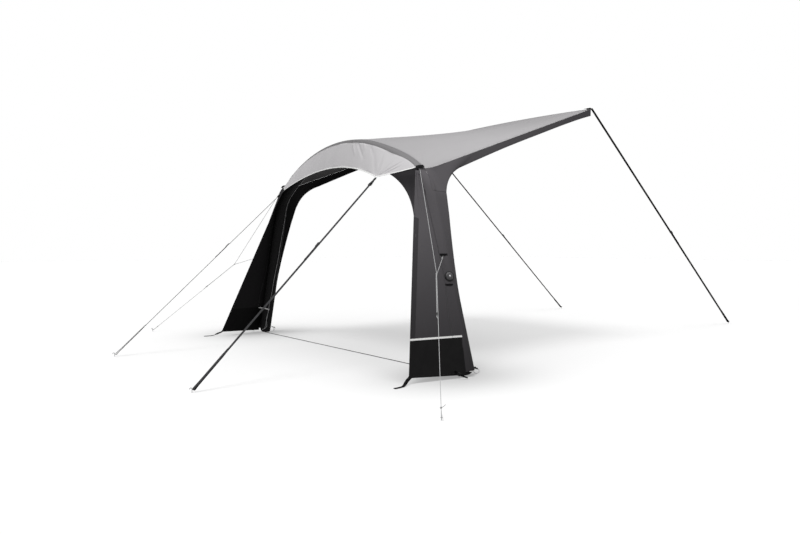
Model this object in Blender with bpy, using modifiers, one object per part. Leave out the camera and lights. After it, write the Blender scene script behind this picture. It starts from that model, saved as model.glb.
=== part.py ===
# Single-arch inflatable sun canopy for the side of a caravan.
# Metres, +Z up. +X runs across the span (the right-hand leg stands at +X),
# -Y is the open front and +Y the edge that slides into the vehicle's rail.
# The ground is Z = 0 and the origin lies on it, under the middle of the
# footprint.

import math

import bmesh
import bpy
from mathutils import Matrix, Vector

# --------------------------------------------------------------------------
# Driving dimensions (metres). Y values are first given from the plane of the
# arch and then moved by Y_MID so that the footprint is centred.
# --------------------------------------------------------------------------
RAIL_WIDTH = 2.50          # rear edge, rail to rail
RAIL_HEIGHT = 2.318
ROOF_DEPTH = 2.072         # arch plane to rear edge
ROOF_BOW = 0.030           # rise of the middle of the rear edge
ARCH_RADIUS = 1.94         # outside of the fabric over the arch
ARCH_APEX = 1.952
SHOULDER_X = 1.12
ROOF_TUCK = 0.024          # roof edge runs this far below the arch's own line

BEAM_RADIUS = 0.0545
BEAM_FOOT_X = 1.635
BEAM_LEAN = 0.305          # inward lean, metres per metre of height
BEAM_STRAIGHT_TOP = 1.36   # height where the leg starts to bend
SLEEVE_RADIUS = 0.0600     # outside of the fabric over the beam
HULL_RADIUS = 0.0620       # outside of the leg cloth drawn round the beam

LEG_FRONT_BASE = (1.605, -0.533, 0.040)
LEG_FRONT_TOP = (1.221, -0.170, 1.199)
CREASE_TOP = (1.110, -0.062, 1.586)    # front edge of the leg at the shoulder
SEAM_TOP = (1.130, -0.044, 1.590)      # seam of the leg at the shoulder
HEAD_TOP = (1.130, 0.020, 1.594)       # front edge of the side flap's head
REAR_REACH = 0.020         # rear edge of the leg stands this far outside the beam line
FLAP_SPLIT_Z = 1.413       # short seam between leg and side flap

VISOR_CORNER = (0.779, -0.207, 1.539)
VISOR_MID_Y = -0.150
VISOR_MID_Z = 1.688
VISOR_SIDE_END = (1.112, -0.036, 1.603)

TAPE_LOW = 0.289           # white tape over the mud skirt
TAPE_HIGH = 0.303
SKIRT_REAR_LOW = -0.055    # rear edge of the skirt at the ground and at the tape
SKIRT_REAR_HIGH = -0.020
FABRIC = 0.0030            # modelled thickness of the cloth
GAP = 0.0003

FRONT_PEG = (0.911, -1.818)
REAR_PEG = (1.291, 4.938)
STORM_PEG = (2.455, -0.994)
STORM_FORK = (1.682, -0.342, 0.772)
PEG_RISE = 0.034
PEG_HOOK = 0.016
WEB_WIDTH = 0.025
WEB_THICK = 0.0022
CORD_RADIUS = 0.0022
LOOP_HEIGHT = 0.905        # loop on the leg that takes the lower guy
VALVE_HEIGHT = 0.740
VALVE_DIAMETER = 0.078

Y_MID = 0.5 * (FRONT_PEG[1] + REAR_PEG[1])
Y_SPAN = REAR_PEG[1] - FRONT_PEG[1]

SIDES = (("right", 1.0), ("left", -1.0))


# --------------------------------------------------------------------------
# Start from an empty file
# --------------------------------------------------------------------------
for old in list(bpy.data.objects):
    bpy.data.objects.remove(old, do_unlink=True)

parts = bpy.data.collections.new("caravan_awning")
bpy.context.scene.collection.children.link(parts)

root = bpy.data.objects.new("awning_origin", None)
parts.objects.link(root)


def material(name, colour, roughness, metallic=0.0):
    mat = bpy.data.materials.new(name)
    mat.use_nodes = True
    shader = mat.node_tree.nodes["Principled BSDF"]
    shader.inputs["Base Color"].default_value = (*colour, 1.0)
    shader.inputs["Roughness"].default_value = roughness
    shader.inputs["Metallic"].default_value = metallic
    mat.diffuse_color = (*colour, 1.0)
    return mat


ROOF_CLOTH = material("roof_cloth", (0.47, 0.46, 0.47), 0.72)
BAND_CLOTH = material("band_cloth", (0.24, 0.235, 0.245), 0.75)
WALL_CLOTH = material("wall_cloth", (0.095, 0.090, 0.095), 0.78)
SKIRT_CLOTH = material("skirt_cloth", (0.010, 0.010, 0.011), 0.42)
WHITE_TAPE = material("white_tape", (0.80, 0.80, 0.79), 0.60)
BLACK_WEBBING = material("black_webbing", (0.012, 0.012, 0.013), 0.70)
GREY_WEBBING = material("grey_webbing", (0.040, 0.040, 0.043), 0.70)
GUY_CORD = material("guy_cord", (0.42, 0.42, 0.43), 0.65)
BEAM_SKIN = material("beam_skin", (0.030, 0.030, 0.032), 0.55)
BLACK_PLASTIC = material("black_plastic", (0.015, 0.015, 0.016), 0.45)
PEG_STEEL = material("peg_steel", (0.45, 0.45, 0.46), 0.38, 1.0)


# --------------------------------------------------------------------------
# Small helpers
# --------------------------------------------------------------------------
def lerp(a, b, t):
    return a + (b - a) * t


def mix(p, q, t):
    return Vector(p) * (1.0 - t) + Vector(q) * t


def smooth(t):
    t = min(1.0, max(0.0, t))
    return t * t * (3.0 - 2.0 * t)


def placed(p, side=1.0):
    """Arch-plane coordinates to the part's own frame, mirrored for the left."""
    return Vector((p[0] * side, p[1] - Y_MID, p[2]))


def adopt(obj, mat):
    obj.parent = root
    obj.data.materials.clear()
    obj.data.materials.append(mat)
    for col in list(obj.users_collection):
        col.objects.unlink(obj)
    parts.objects.link(obj)
    return obj


def soften(obj, angle=40.0):
    obj.data.shade_smooth()
    obj.data.set_sharp_from_angle(angle=math.radians(angle))


def sheet(name, mat, nu, nv, surface, thickness=FABRIC, side=1.0, outward=None,
          over_beam=0.0, leave_out=None):
    """An open curved sheet (grid primitive shaped by surface(u, v)) given its
    thickness by Solidify, inward from the drawn face. leave_out(u, v) names
    the cells of the grid that the pattern piece doesn't have."""
    bm = bmesh.new()
    bmesh.ops.create_grid(bm, x_segments=nu, y_segments=nv, size=0.5)
    if leave_out is not None:
        gone = [f for f in bm.faces
                if leave_out(f.calc_center_median().x + 0.5, f.calc_center_median().y + 0.5)]
        bmesh.ops.delete(bm, geom=gone, context="FACES")
    centre = Vector((0.0, 0.0, 0.0))
    for v in bm.verts:
        p = surface(v.co.x + 0.5, v.co.y + 0.5)
        v.co = placed(drape(p, over_beam) if over_beam else p, side)
        centre += v.co
    centre /= len(bm.verts)
    bm.normal_update()
    if outward is not None:
        total = Vector((0.0, 0.0, 0.0))
        for f in bm.faces:
            total += f.normal * f.calc_area()
        want = Vector((outward[0] * side, outward[1], outward[2]))
        if total.dot(want) < 0.0:
            bmesh.ops.reverse_faces(bm, faces=bm.faces[:])
    for v in bm.verts:
        v.co -= centre
    mesh = bpy.data.meshes.new(name)
    bm.to_mesh(mesh)
    bm.free()
    obj = bpy.data.objects.new(name, mesh)
    parts.objects.link(obj)
    obj.location = centre
    adopt(obj, mat)
    solid = obj.modifiers.new("cloth", "SOLIDIFY")
    solid.thickness = thickness
    solid.offset = -1.0
    solid.use_even_offset = True
    solid.use_rim = True
    soften(obj)
    return obj


def ribbon(name, mat, path, width, thickness, side=1.0, across=None, steps=1,
           outward=(0.0, 0.0, 1.0)):
    """A flat webbing strap along a path; across is its width direction."""
    pts = [Vector(p) for p in path]
    n = len(pts) - 1

    def surface(u, v):
        k = min(int(u * n + 1e-6), n - 1)
        t = u * n - k
        p = mix(pts[k], pts[k + 1], t)
        d = (pts[min(k + 1, n)] - pts[k]).normalized()
        a = Vector(across) if across is not None else d.cross(Vector((0.0, 0.0, 1.0)))
        a = (a - d * a.dot(d)).normalized()
        return p + a * (width * (v - 0.5))

    return sheet(name, mat, n * steps, 1, surface, thickness, side, outward)


def tube(name, mat, points, radius, sides=2, side=1.0, closed=False, scales=None):
    """A round cord, rod or tube: POLY curve with a bevel and filled caps."""
    pts = [placed(p, side) for p in points]
    centre = sum(pts, Vector((0.0, 0.0, 0.0))) / len(pts)
    curve = bpy.data.curves.new(name, "CURVE")
    curve.dimensions = "3D"
    curve.bevel_depth = radius
    curve.bevel_resolution = sides
    curve.use_fill_caps = True
    line = curve.splines.new("POLY")
    line.points.add(len(pts) - 1)
    line.use_cyclic_u = closed
    for k, (point, p) in enumerate(zip(line.points, pts)):
        point.co = (*(p - centre), 1.0)
        point.radius = scales[k] if scales else 1.0
    obj = bpy.data.objects.new(name, curve)
    obj.location = centre
    parts.objects.link(obj)
    obj.parent = root
    curve.materials.append(mat)
    return obj


def block(name, mat, size, centre, axes, side=1.0, bevel=0.002):
    """A box primitive turned onto the given local X, Y and Z directions."""
    bm = bmesh.new()
    bmesh.ops.create_cube(bm, size=1.0)
    for v in bm.verts:
        v.co = Vector((v.co.x * size[0], v.co.y * size[1], v.co.z * size[2]))
    mesh = bpy.data.meshes.new(name)
    bm.to_mesh(mesh)
    bm.free()
    obj = bpy.data.objects.new(name, mesh)
    parts.objects.link(obj)
    adopt(obj, mat)
    x = Vector((axes[0][0] * side, axes[0][1], axes[0][2])).normalized()
    z = Vector((axes[1][0] * side, axes[1][1], axes[1][2]))
    z = (z - x * z.dot(x)).normalized()
    y = z.cross(x)
    turn = Matrix((x, y, z)).transposed()
    obj.matrix_local = Matrix.Translation(placed(centre, side)) @ turn.to_4x4()
    if bevel:
        edge = obj.modifiers.new("edges", "BEVEL")
        edge.width = bevel
        edge.segments = 2
        edge.limit_method = "ANGLE"
        edge.angle_limit = math.radians(40.0)
    soften(obj)
    return obj


# --------------------------------------------------------------------------
# Lines that the canopy is drawn from (right-hand side, arch-plane frame)
# --------------------------------------------------------------------------
ARCH_CENTRE_Z = ARCH_APEX - ARCH_RADIUS
SHOULDER_Z = ARCH_CENTRE_Z + math.sqrt(ARCH_RADIUS ** 2 - SHOULDER_X ** 2)
RAIL_X = RAIL_WIDTH / 2.0


def arch_z(x, inset=0.0):
    return ARCH_CENTRE_Z + math.sqrt((ARCH_RADIUS - inset) ** 2 - x * x)


def beam_x(z):
    return BEAM_FOOT_X - BEAM_LEAN * z


def beam_line():
    """Centre line of the beam from foot to foot: straight leaning legs, a
    round bend at each shoulder and the arc over the top."""
    inset = SLEEVE_RADIUS + FABRIC
    radius = ARCH_RADIUS - inset
    # bend circle tangent to the leg line and to the inside of the arc
    p0 = Vector((beam_x(BEAM_STRAIGHT_TOP), BEAM_STRAIGHT_TOP))
    d = Vector((-BEAM_LEAN, 1.0)).normalized()
    n = Vector((-d.y, d.x))                      # towards the middle
    c0 = Vector((0.0, ARCH_CENTRE_Z))
    # |p0 + n r - c0| = radius - r
    w = p0 - c0
    r = (radius ** 2 - w.dot(w)) / (2.0 * (radius + w.dot(n)))
    c = p0 + n * r
    a0 = math.atan2(p0.y - c.y, p0.x - c.x)
    a1 = math.atan2(c.y - c0.y, c.x - c0.x)
    pts = [(beam_x(0.04), 0.0), (beam_x(0.04), 0.010), (beam_x(0.04), 0.024), (beam_x(0.04), 0.04)]
    for i in range(1, 10):
        z = lerp(0.04, BEAM_STRAIGHT_TOP, i / 10.0)
        pts.append((beam_x(z), z))
    for i in range(0, 9):
        a = lerp(a0, a1, i / 8.0)
        pts.append((c.x + r * math.cos(a), c.y + r * math.sin(a)))
    half = math.pi / 2.0
    for i in range(1, 11):
        a = lerp(a1, half, i / 10.0)
        pts.append((radius * math.cos(a), ARCH_CENTRE_Z + radius * math.sin(a)))
    full = [Vector((x, 0.0, z)) for x, z in pts]
    full += [Vector((-x, 0.0, z)) for x, z in reversed(pts[:-1])]
    return full


BEAM_PATH = beam_line()


def drape(p, radius=SLEEVE_RADIUS):
    """Lifts a cloth point that would fall inside the sleeve out onto it."""
    best, at = None, None
    q = Vector((abs(p.x), p.y, p.z))
    for a, b in zip(BEAM_PATH, BEAM_PATH[1:]):
        ab = b - a
        t = min(1.0, max(0.0, (q - a).dot(ab) / ab.dot(ab)))
        c = a + ab * t
        gap = (q - c).length
        if best is None or gap < best:
            best, at = gap, c
    if best >= radius:
        return p
    out = at + (q - at).normalized() * radius
    return Vector((math.copysign(out.x, p.x), out.y, out.z))


def beam_centre(z):
    """X of the beam's centre line at height z, up to the shoulder."""
    for a, b in zip(BEAM_PATH, BEAM_PATH[1:]):
        if a.z <= z <= b.z:
            return lerp(a.x, b.x, (z - a.z) / (b.z - a.z))
    return SHOULDER_X


def edge_line(t):
    return lerp(SHOULDER_Z - ROOF_TUCK, RAIL_HEIGHT, t)


def edge_lift(t):
    """The roof's side edge rises to the arch over its first 17 cm."""
    return ROOF_TUCK * max(0.0, 1.0 - ROOF_DEPTH * t / 0.17) ** 2


def roof_edge(t):
    """Side edge of the roof: a taut line from the shoulder (t=0) to the rail
    corner (t=1)."""
    return Vector((lerp(SHOULDER_X, RAIL_X, t), ROOF_DEPTH * t, edge_line(t) + edge_lift(t)))


def leg_front(z):
    """Front edge of the leg, then the crease up to the shoulder."""
    if z <= LEG_FRONT_TOP[2]:
        t = (z - LEG_FRONT_BASE[2]) / (LEG_FRONT_TOP[2] - LEG_FRONT_BASE[2])
        return mix(LEG_FRONT_BASE, LEG_FRONT_TOP, t)
    t = (z - LEG_FRONT_TOP[2]) / (CREASE_TOP[2] - LEG_FRONT_TOP[2])
    return mix(LEG_FRONT_TOP, CREASE_TOP, t)


def rear_edge_y(z):
    """How far behind the arch plane the rear edge of the leg stands."""
    return 0.077 + 0.104 * min(1.0, max(0.0, (z - 0.55) / (FLAP_SPLIT_Z - 0.55))) ** 1.45


def leg_rear(z):
    return Vector((beam_centre(z) + REAR_REACH - 0.008 * smooth((z - 1.2) / 0.2), rear_edge_y(z), z))


def hull(z, y, lift=0.0):
    """The leg's cloth is drawn tight round the beam: flat from its front edge
    to where it meets the beam, round the beam's outer side, then flat to the
    rear edge. Returns the point at height z and depth y, lifted outward. The
    level section of the leaning beam is an ellipse, so X is worked out in
    units of its longer half axis."""
    bx, r, long = beam_centre(z), HULL_RADIUS, math.sqrt(1.0 + BEAM_LEAN ** 2)
    front, rear = leg_front(z), leg_rear(z)
    fx, rx = (front.x - bx) / long, (rear.x - bx) / long
    fa = math.atan2(front.y, fx) + math.acos(min(1.0, r / math.hypot(front.y, fx)))
    ra = math.atan2(rear.y, rx) - math.acos(min(1.0, r / math.hypot(rear.y, rx)))
    y0, y1 = r * math.sin(fa), r * math.sin(ra)
    if y <= y0:
        a = fa
        x = lerp(fx, r * math.cos(fa), (y - front.y) / (y0 - front.y))
    elif y < y1:
        a = math.asin(y / r)
        x = math.sqrt(r * r - y * y)
    else:
        a = ra
        x = lerp(r * math.cos(ra), rx, (y - y1) / (rear.y - y1))
    out = Vector((math.cos(a) / long, math.sin(a), 0.0)).normalized()
    return Vector((bx + x * long, y, z)) + out * lift


def leg_seam(z):
    """Seam in front of the beam, from the hem up to the shoulder."""
    y = -0.064 - 0.037 * smooth((0.74 - z) / 0.34)
    if z <= BEAM_STRAIGHT_TOP:
        return hull(z, y)
    t = (z - BEAM_STRAIGHT_TOP) / (SEAM_TOP[2] - BEAM_STRAIGHT_TOP)
    return drape(mix(hull(BEAM_STRAIGHT_TOP, y), SEAM_TOP, t), HULL_RADIUS)


def head_line(z):
    """Front edge of the side flap's head, over the top of the beam."""
    t = (z - FLAP_SPLIT_Z) / (HEAD_TOP[2] - FLAP_SPLIT_Z)
    return drape(mix(hull(FLAP_SPLIT_Z, -0.015), HEAD_TOP, t), HULL_RADIUS)


# --------------------------------------------------------------------------
# Inflated frame
# --------------------------------------------------------------------------
BEAM_END_TAPER = (0.66, 0.88, 0.97, 1.0)
middle = [1.0] * (len(BEAM_PATH) - 2 * len(BEAM_END_TAPER))
tube("air_beam", BEAM_SKIN, BEAM_PATH, BEAM_RADIUS, sides=4,
     scales=[*BEAM_END_TAPER, *middle, *reversed(BEAM_END_TAPER)])


# --------------------------------------------------------------------------
# Roof, band, visor
# --------------------------------------------------------------------------
TUBE = SLEEVE_RADIUS + FABRIC      # outside of the cloth drawn over the beam


def band_front(x):
    """Front edge of the band: pulled well down the beam's front over the
    middle of the arch, less so at the shoulders."""
    return -0.053 + 0.022 * smooth((abs(x) - 0.78) / 0.26)


def band_rear(x):
    return -0.010 + 0.041 * smooth((abs(x) - 0.56) / 0.50)


def roof_inner(s):
    return 1.0 - abs(s) ** 12


def roof_arc(s):
    return arch_z(SHOULDER_X * s) - SHOULDER_Z + ROOF_TUCK * roof_inner(s)


def roof_slope(s):
    """Rise of the roof towards the rail where it leaves the arch."""
    return ((RAIL_HEIGHT - SHOULDER_Z + ROOF_TUCK - 1.4 * roof_arc(s) + ROOF_BOW * (1.0 - s * s)) / ROOF_DEPTH
            - (1.0 - roof_inner(s)) * 2.0 * ROOF_TUCK / 0.17)


def over_arch(s, y):
    """Cloth over the arch at span place s and depth y: round the beam in
    front, and leaving it at a tangent towards the roof behind."""
    a = math.asin(SHOULDER_X * s / ARCH_RADIUS)
    slope = math.atan(roof_slope(s) * math.cos(a))
    if y <= -TUBE * math.sin(slope):
        rise = math.sqrt(TUBE ** 2 - y * y) - TUBE
    else:
        rise = math.tan(slope) * y + TUBE * (1.0 / math.cos(slope) - 1.0)
    r = ARCH_RADIUS + rise
    return Vector((r * math.sin(a), y, ARCH_CENTRE_Z + r * math.cos(a)))


def roof_surface(u, v):
    s = 2.0 * u - 1.0
    y0 = band_rear(SHOULDER_X * s) + 0.002
    t = lerp(y0 / ROOF_DEPTH, 1.0 - 0.004 / ROOF_DEPTH, v)
    edge = roof_edge(max(t, 0.0))
    x = edge.x * s * 0.9985
    # arc at the front, flattening towards the rail edge
    inner = roof_inner(s)
    a = math.asin(SHOULDER_X * s / ARCH_RADIUS)
    slope = math.atan(roof_slope(s) * math.cos(a))
    lift = TUBE * (1.0 / math.cos(slope) - 1.0) / math.cos(a)
    z = (edge_line(t) + edge_lift(t) * (1.0 - inner) + roof_arc(s) * (1.0 - t) ** 1.4
         + lift * max(0.0, 1.0 - ROOF_DEPTH * t / 0.25) ** 2 + ROOF_BOW * (1.0 - s * s) * t)
    return Vector((x, ROOF_DEPTH * t, z))


sheet("roof_panel", ROOF_CLOTH, 28, 14, roof_surface, outward=(0, 0, 1), over_beam=SLEEVE_RADIUS)


def band_surface(u, v):
    s = (2.0 * u - 1.0) * 0.985
    x = SHOULDER_X * s
    return over_arch(s, lerp(band_front(x), band_rear(x), v))


sheet("arch_band", BAND_CLOTH, 32, 4, band_surface, outward=(0, 0, 1))


def visor_hem_point(s):
    """Lower edge of the visor: scallop between the two guyed corners, then a
    straight run up to each shoulder. s runs from -1 to 1."""
    a = abs(s)
    sign = 1.0 if s >= 0 else -1.0
    knee = VISOR_CORNER[0] / SHOULDER_X
    if a <= knee:
        x = VISOR_CORNER[0] * a / knee
        k = (a / knee) ** 2
        y = lerp(VISOR_MID_Y, VISOR_CORNER[1], k)
        z = lerp(VISOR_MID_Z, VISOR_CORNER[2], k)
    else:
        t = (a - knee) / (1.0 - knee)
        x, y, z = mix(VISOR_CORNER, VISOR_SIDE_END, t)
    return Vector((x * sign, y, z))


VISOR_END = 0.975
VISOR_BELLY = 0.014


def visor_top(s):
    return over_arch(s, band_front(SHOULDER_X * s) - 0.002)


def visor_surface(u, v):
    s = (2.0 * u - 1.0) * VISOR_END
    top, low = visor_top(s), visor_hem_point(s)
    p = mix(top, low, v * 0.972)
    # drawn nearly flat between the band and the hem
    belly = math.sin(math.pi * v) * VISOR_BELLY * (top - low).length
    return p + Vector((0.0, -0.80, 0.60)) * belly


sheet("front_visor", ROOF_CLOTH, 44, 6, visor_surface, outward=(0, -1, 1), over_beam=SLEEVE_RADIUS)


def hem_surface(u, v):
    s = (2.0 * u - 1.0) * VISOR_END
    top, low = visor_top(s), visor_hem_point(s)
    return mix(top, low, lerp(0.972 + 0.0012 / (top - low).length, 1.0 + 0.006 / (top - low).length, v))


sheet("visor_hem", WHITE_TAPE, 44, 1, hem_surface, thickness=0.004, outward=(0, -1, 1))


# --------------------------------------------------------------------------
# Legs: front panel, sleeve and rear panel, skirt, gusset, side flap
# --------------------------------------------------------------------------
SEAM_CLEAR = 0.0020        # each panel stops this far short of the seam line
HEM_FRONT, HEM_REAR = 0.043, 0.020      # lower edge of the skirt
REAR_HEM = (0.040, 0.034)  # lower edge of the rear panel
HEAD_Y = -0.015


def front_panel_surface(u, v):
    """Front panel from the tape to the shoulder, front edge to seam."""
    if v < 0.72:
        z = lerp(TAPE_HIGH + 0.0015, LEG_FRONT_TOP[2], v / 0.72)
    else:
        z = lerp(LEG_FRONT_TOP[2], CREASE_TOP[2] - 0.012, (v - 0.72) / 0.28)
    front, seam = leg_front(z), leg_seam(z)
    if z <= LEG_FRONT_TOP[2]:
        return hull(z, lerp(front.y, seam.y - SEAM_CLEAR, u))
    t = lerp(SEAM_CLEAR, (seam - front).length - SEAM_CLEAR, u) / (seam - front).length
    return mix(front, seam, t)


def skirt_rear(z):
    return lerp(SKIRT_REAR_LOW, SKIRT_REAR_HIGH, z / TAPE_HIGH)


def skirt_depth(z, u):
    """Most of the columns lie towards the beam, where the cloth bends."""
    return lerp(leg_front(z).y, skirt_rear(z), 1.0 - (1.0 - u) ** 2)


def skirt_surface(u, v):
    y = skirt_depth(HEM_FRONT, u)
    hem = lerp(HEM_FRONT, HEM_REAR, (y - LEG_FRONT_BASE[1]) / (SKIRT_REAR_LOW - LEG_FRONT_BASE[1]))
    z = lerp(hem, TAPE_LOW - 0.0015, v)
    return hull(z, skirt_depth(z, u), 0.0006)


def tape_surface(u, v):
    z = lerp(TAPE_LOW, TAPE_HIGH, v)
    return hull(z, skirt_depth(z, u), 0.0010)


REAR_COLUMNS = (4, 3, 8)   # seam to the skirt's end, to the head line, to the rear edge
REAR_ROWS = (2, 10, 4)     # beside the skirt, leg, tongue up to the shoulder


def split(w, counts):
    """Which stretch of the grid w falls in, and how far along it."""
    n, at = sum(counts), 0
    for i, count in enumerate(counts):
        if w * n <= at + count + 1e-6:
            return i, (w * n - at) / count
        at += count
    return len(counts) - 1, 1.0


def rear_panel_surface(u, v):
    """Seam to rear edge; beside the skirt it is only the narrow strip behind
    the beam, and above the flap's seam only the tongue over the beam."""
    row, k = split(v, REAR_ROWS)
    col, c = split(u, REAR_COLUMNS)
    if row == 0:
        hem = lerp(REAR_HEM[0], REAR_HEM[1], c if col == 2 else 0.0)
        z = lerp(hem, TAPE_HIGH + 0.0015, k)
    elif row == 1:
        z = lerp(TAPE_HIGH + 0.0015, FLAP_SPLIT_Z - 0.0015, k)
    else:
        z = lerp(FLAP_SPLIT_Z - 0.0015, SEAM_TOP[2] - 0.010, k)
    seam = leg_seam(z)
    if row == 2:
        head = head_line(z)
        across = (head - seam).length
        return mix(seam, head, lerp(SEAM_CLEAR, across - SEAM_CLEAR, min(1.0, u * 15.0 / 7.0)) / across)
    cut = skirt_rear(min(z, TAPE_HIGH)) + SEAM_CLEAR
    stops = (seam.y + SEAM_CLEAR, max(cut, lerp(cut, -0.036, min(1.0, (z - TAPE_HIGH) / 0.1))),
             HEAD_Y - SEAM_CLEAR, leg_rear(z).y)
    return hull(z, lerp(stops[col], stops[col + 1], c))


def rear_panel_gaps(u, v):
    row, col = split(v, REAR_ROWS)[0], split(u, REAR_COLUMNS)[0]
    return (row == 0 and col == 0) or (row == 2 and col == 2)


for label, side in SIDES:
    sheet(f"{label}_leg_front_panel", WALL_CLOTH, 8, 18, front_panel_surface,
          side=side, outward=(1, -0.3, 0.3), over_beam=HULL_RADIUS - 0.0002)

    sheet(f"{label}_leg_rear_panel", WALL_CLOTH, sum(REAR_COLUMNS), sum(REAR_ROWS),
          rear_panel_surface, side=side, outward=(1, 0.1, 0.3),
          over_beam=HULL_RADIUS - 0.0002, leave_out=rear_panel_gaps)

    sheet(f"{label}_mud_skirt", SKIRT_CLOTH, 12, 4, skirt_surface, side=side,
          outward=(1, -0.3, 0.3))

    sheet(f"{label}_skirt_tape", WHITE_TAPE, 12, 1, tape_surface, thickness=0.0035,
          side=side, outward=(1, -0.3, 0.3))


def gusset_surface(u, v):
    """Fillet panel between the leg's front edge and the visor's side hem.
    u runs from the crease to the free curved edge, v from the leg corner up
    to the hem."""
    low = Vector(LEG_FRONT_TOP)
    tip = mix(VISOR_CORNER, VISOR_SIDE_END, 0.33) + Vector((0.0, 0.006, -0.010))
    crease = mix(low, CREASE_TOP, v)
    # free edge: quarter-round curve from the leg to the hem
    knee = Vector((1.118, -0.118, 1.436))
    free = (low * (1 - v) ** 2 + knee * 2 * v * (1 - v) + tip * v * v)
    p = mix(crease, free, lerp(0.02, 1.0, u))
    return p + Vector((-0.004, 0.0035, 0.0))


def gusset_rows(u, v):
    return gusset_surface(u, lerp(0.035, 0.985, v))


for label, side in SIDES:
    sheet(f"{label}_front_gusset", WALL_CLOTH, 6, 10, gusset_rows,
          side=side, outward=(0.4, -1, 0), over_beam=SLEEVE_RADIUS)


FLAP_CORNER_CTRL = (1.165, 0.2395, 1.575)
FLAP_JOIN_Y = 0.42
FLAP_NARROW_Y = 1.60


def flap_height(y):
    """Depth of the strip under the roof edge: deep at the leg, narrow near
    the back and a little deeper again at the rail."""
    if y < FLAP_NARROW_Y:
        taper = 0.0455 * ((FLAP_NARROW_Y - y) / (FLAP_NARROW_Y - FLAP_JOIN_Y)) ** 1.35
        return 0.0405 + taper + 0.014 * smooth((y - 0.8) / 0.8)
    return 0.0545 + 0.0125 * ((y - FLAP_NARROW_Y) / (ROOF_DEPTH - FLAP_NARROW_Y)) ** 3


def flap_under(y):
    return roof_edge(y / ROOF_DEPTH) + Vector((-0.003, 0.0, -flap_height(y)))


def flap_bottom(t):
    """Lower edge of the side flap for t from 0 (leg) to 1 (rail): a rounded
    inner corner, then a narrow strip under the roof edge."""
    corner, join = leg_rear(FLAP_SPLIT_Z), flap_under(FLAP_JOIN_Y)
    turn = 0.28
    if t <= turn:
        k = t / turn
        return corner * (1 - k) ** 2 + Vector(FLAP_CORNER_CTRL) * 2 * k * (1 - k) + join * k * k
    return flap_under(lerp(FLAP_JOIN_Y, ROOF_DEPTH * 0.998, (t - turn) / (1.0 - turn)))


def flap_top(t):
    """Just under the roof edge; t = -1..0 lies over the leg's head."""
    y = lerp(0.020, 0.110, t + 1.0) if t < 0.0 else lerp(0.110, ROOF_DEPTH * 0.998, t ** 1.12)
    return roof_edge(y / ROOF_DEPTH) + Vector((0.0, 0.0, -0.0065))


FLAP_COLUMNS = (6, 30)


def flap_surface(u, v):
    """v = 0 on the lower edge, 1 under the roof edge; the first stretch of u
    covers the leg's head from the head line to the rear edge."""
    part, k = split(u, FLAP_COLUMNS)
    z = FLAP_SPLIT_Z + 0.0015
    if part == 0:
        low = hull(z, lerp(HEAD_Y + SEAM_CLEAR * (1.0 - k), leg_rear(z).y, k))
        top = flap_top(k - 1.0)
        if k < 0.01:
            z = lerp(z, HEAD_TOP[2], v)
            return head_line(z) + Vector((0.0, SEAM_CLEAR, 0.0))
    else:
        low = flap_bottom(k) + Vector((0.0, 0.0, 0.0015 if k < 0.12 else 0.0))
        top = flap_top(k)
    return mix(low, top, v)


for label, side in SIDES:
    sheet(f"{label}_side_flap", WALL_CLOTH, sum(FLAP_COLUMNS), 4, flap_surface,
          side=side, outward=(1, 0, 0), over_beam=HULL_RADIUS - 0.0002)


# black patch over the shoulder, where visor, band, roof and leg meet
for label, side in SIDES:
    ribbon(f"{label}_shoulder_patch", BLACK_WEBBING,
           [(1.116, -0.058, 1.6000), (1.126, -0.036, 1.6085),
            (1.133, -0.012, 1.6120), (1.135, 0.008, 1.6115)],
           0.030, WEB_THICK, side, (0.75, 0.0, -0.66))


# --------------------------------------------------------------------------
# Rear edge: beading and corner tabs
# --------------------------------------------------------------------------
tube("rear_beading", BLACK_WEBBING,
     [Vector((RAIL_X * s, ROOF_DEPTH + 0.0036, RAIL_HEIGHT - 0.0015 + ROOF_BOW * (1.0 - s * s)))
      for s in [lerp(-0.997, 0.997, i / 14.0) for i in range(15)]], 0.0036, sides=2)

for label, side in SIDES:
    ribbon(f"{label}_rear_corner_tab", BLACK_WEBBING,
           [(RAIL_X - 0.030, ROOF_DEPTH - 0.040, RAIL_HEIGHT - 0.0005),
            (RAIL_X - 0.030, ROOF_DEPTH - 0.006, RAIL_HEIGHT + 0.0115),
            (RAIL_X - 0.030, ROOF_DEPTH + 0.012, RAIL_HEIGHT + 0.0110)],
           0.056, WEB_THICK, side, (1.0, 0.0, -0.02))


# --------------------------------------------------------------------------
# Straps, guys and pegs
# --------------------------------------------------------------------------
def peg(name, at, lean, side=1.0):
    """Head of a steel ground peg: the shank leaves the ground upright and
    hooks over away from the canopy."""
    d = Vector((lean[0], lean[1], 0.0)).normalized()
    base = Vector((at[0], at[1], 0.0))
    pts = [base, base + Vector((0, 0, 0.012)), base + Vector((0, 0, PEG_RISE - 0.010))]
    for i in range(1, 7):
        a = math.pi * i / 6.0
        pts.append(base + d * (PEG_HOOK / 2.0) * (1.0 - math.cos(a))
                   + Vector((0, 0, PEG_RISE - 0.010 + PEG_HOOK / 2.0 * math.sin(a))))
    return tube(name, PEG_STEEL, pts, 0.003, sides=2, side=side)


def run(a, b, t0, t1, n=1):
    return [mix(a, b, lerp(t0, t1, i / n)) for i in range(n + 1)]


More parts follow.
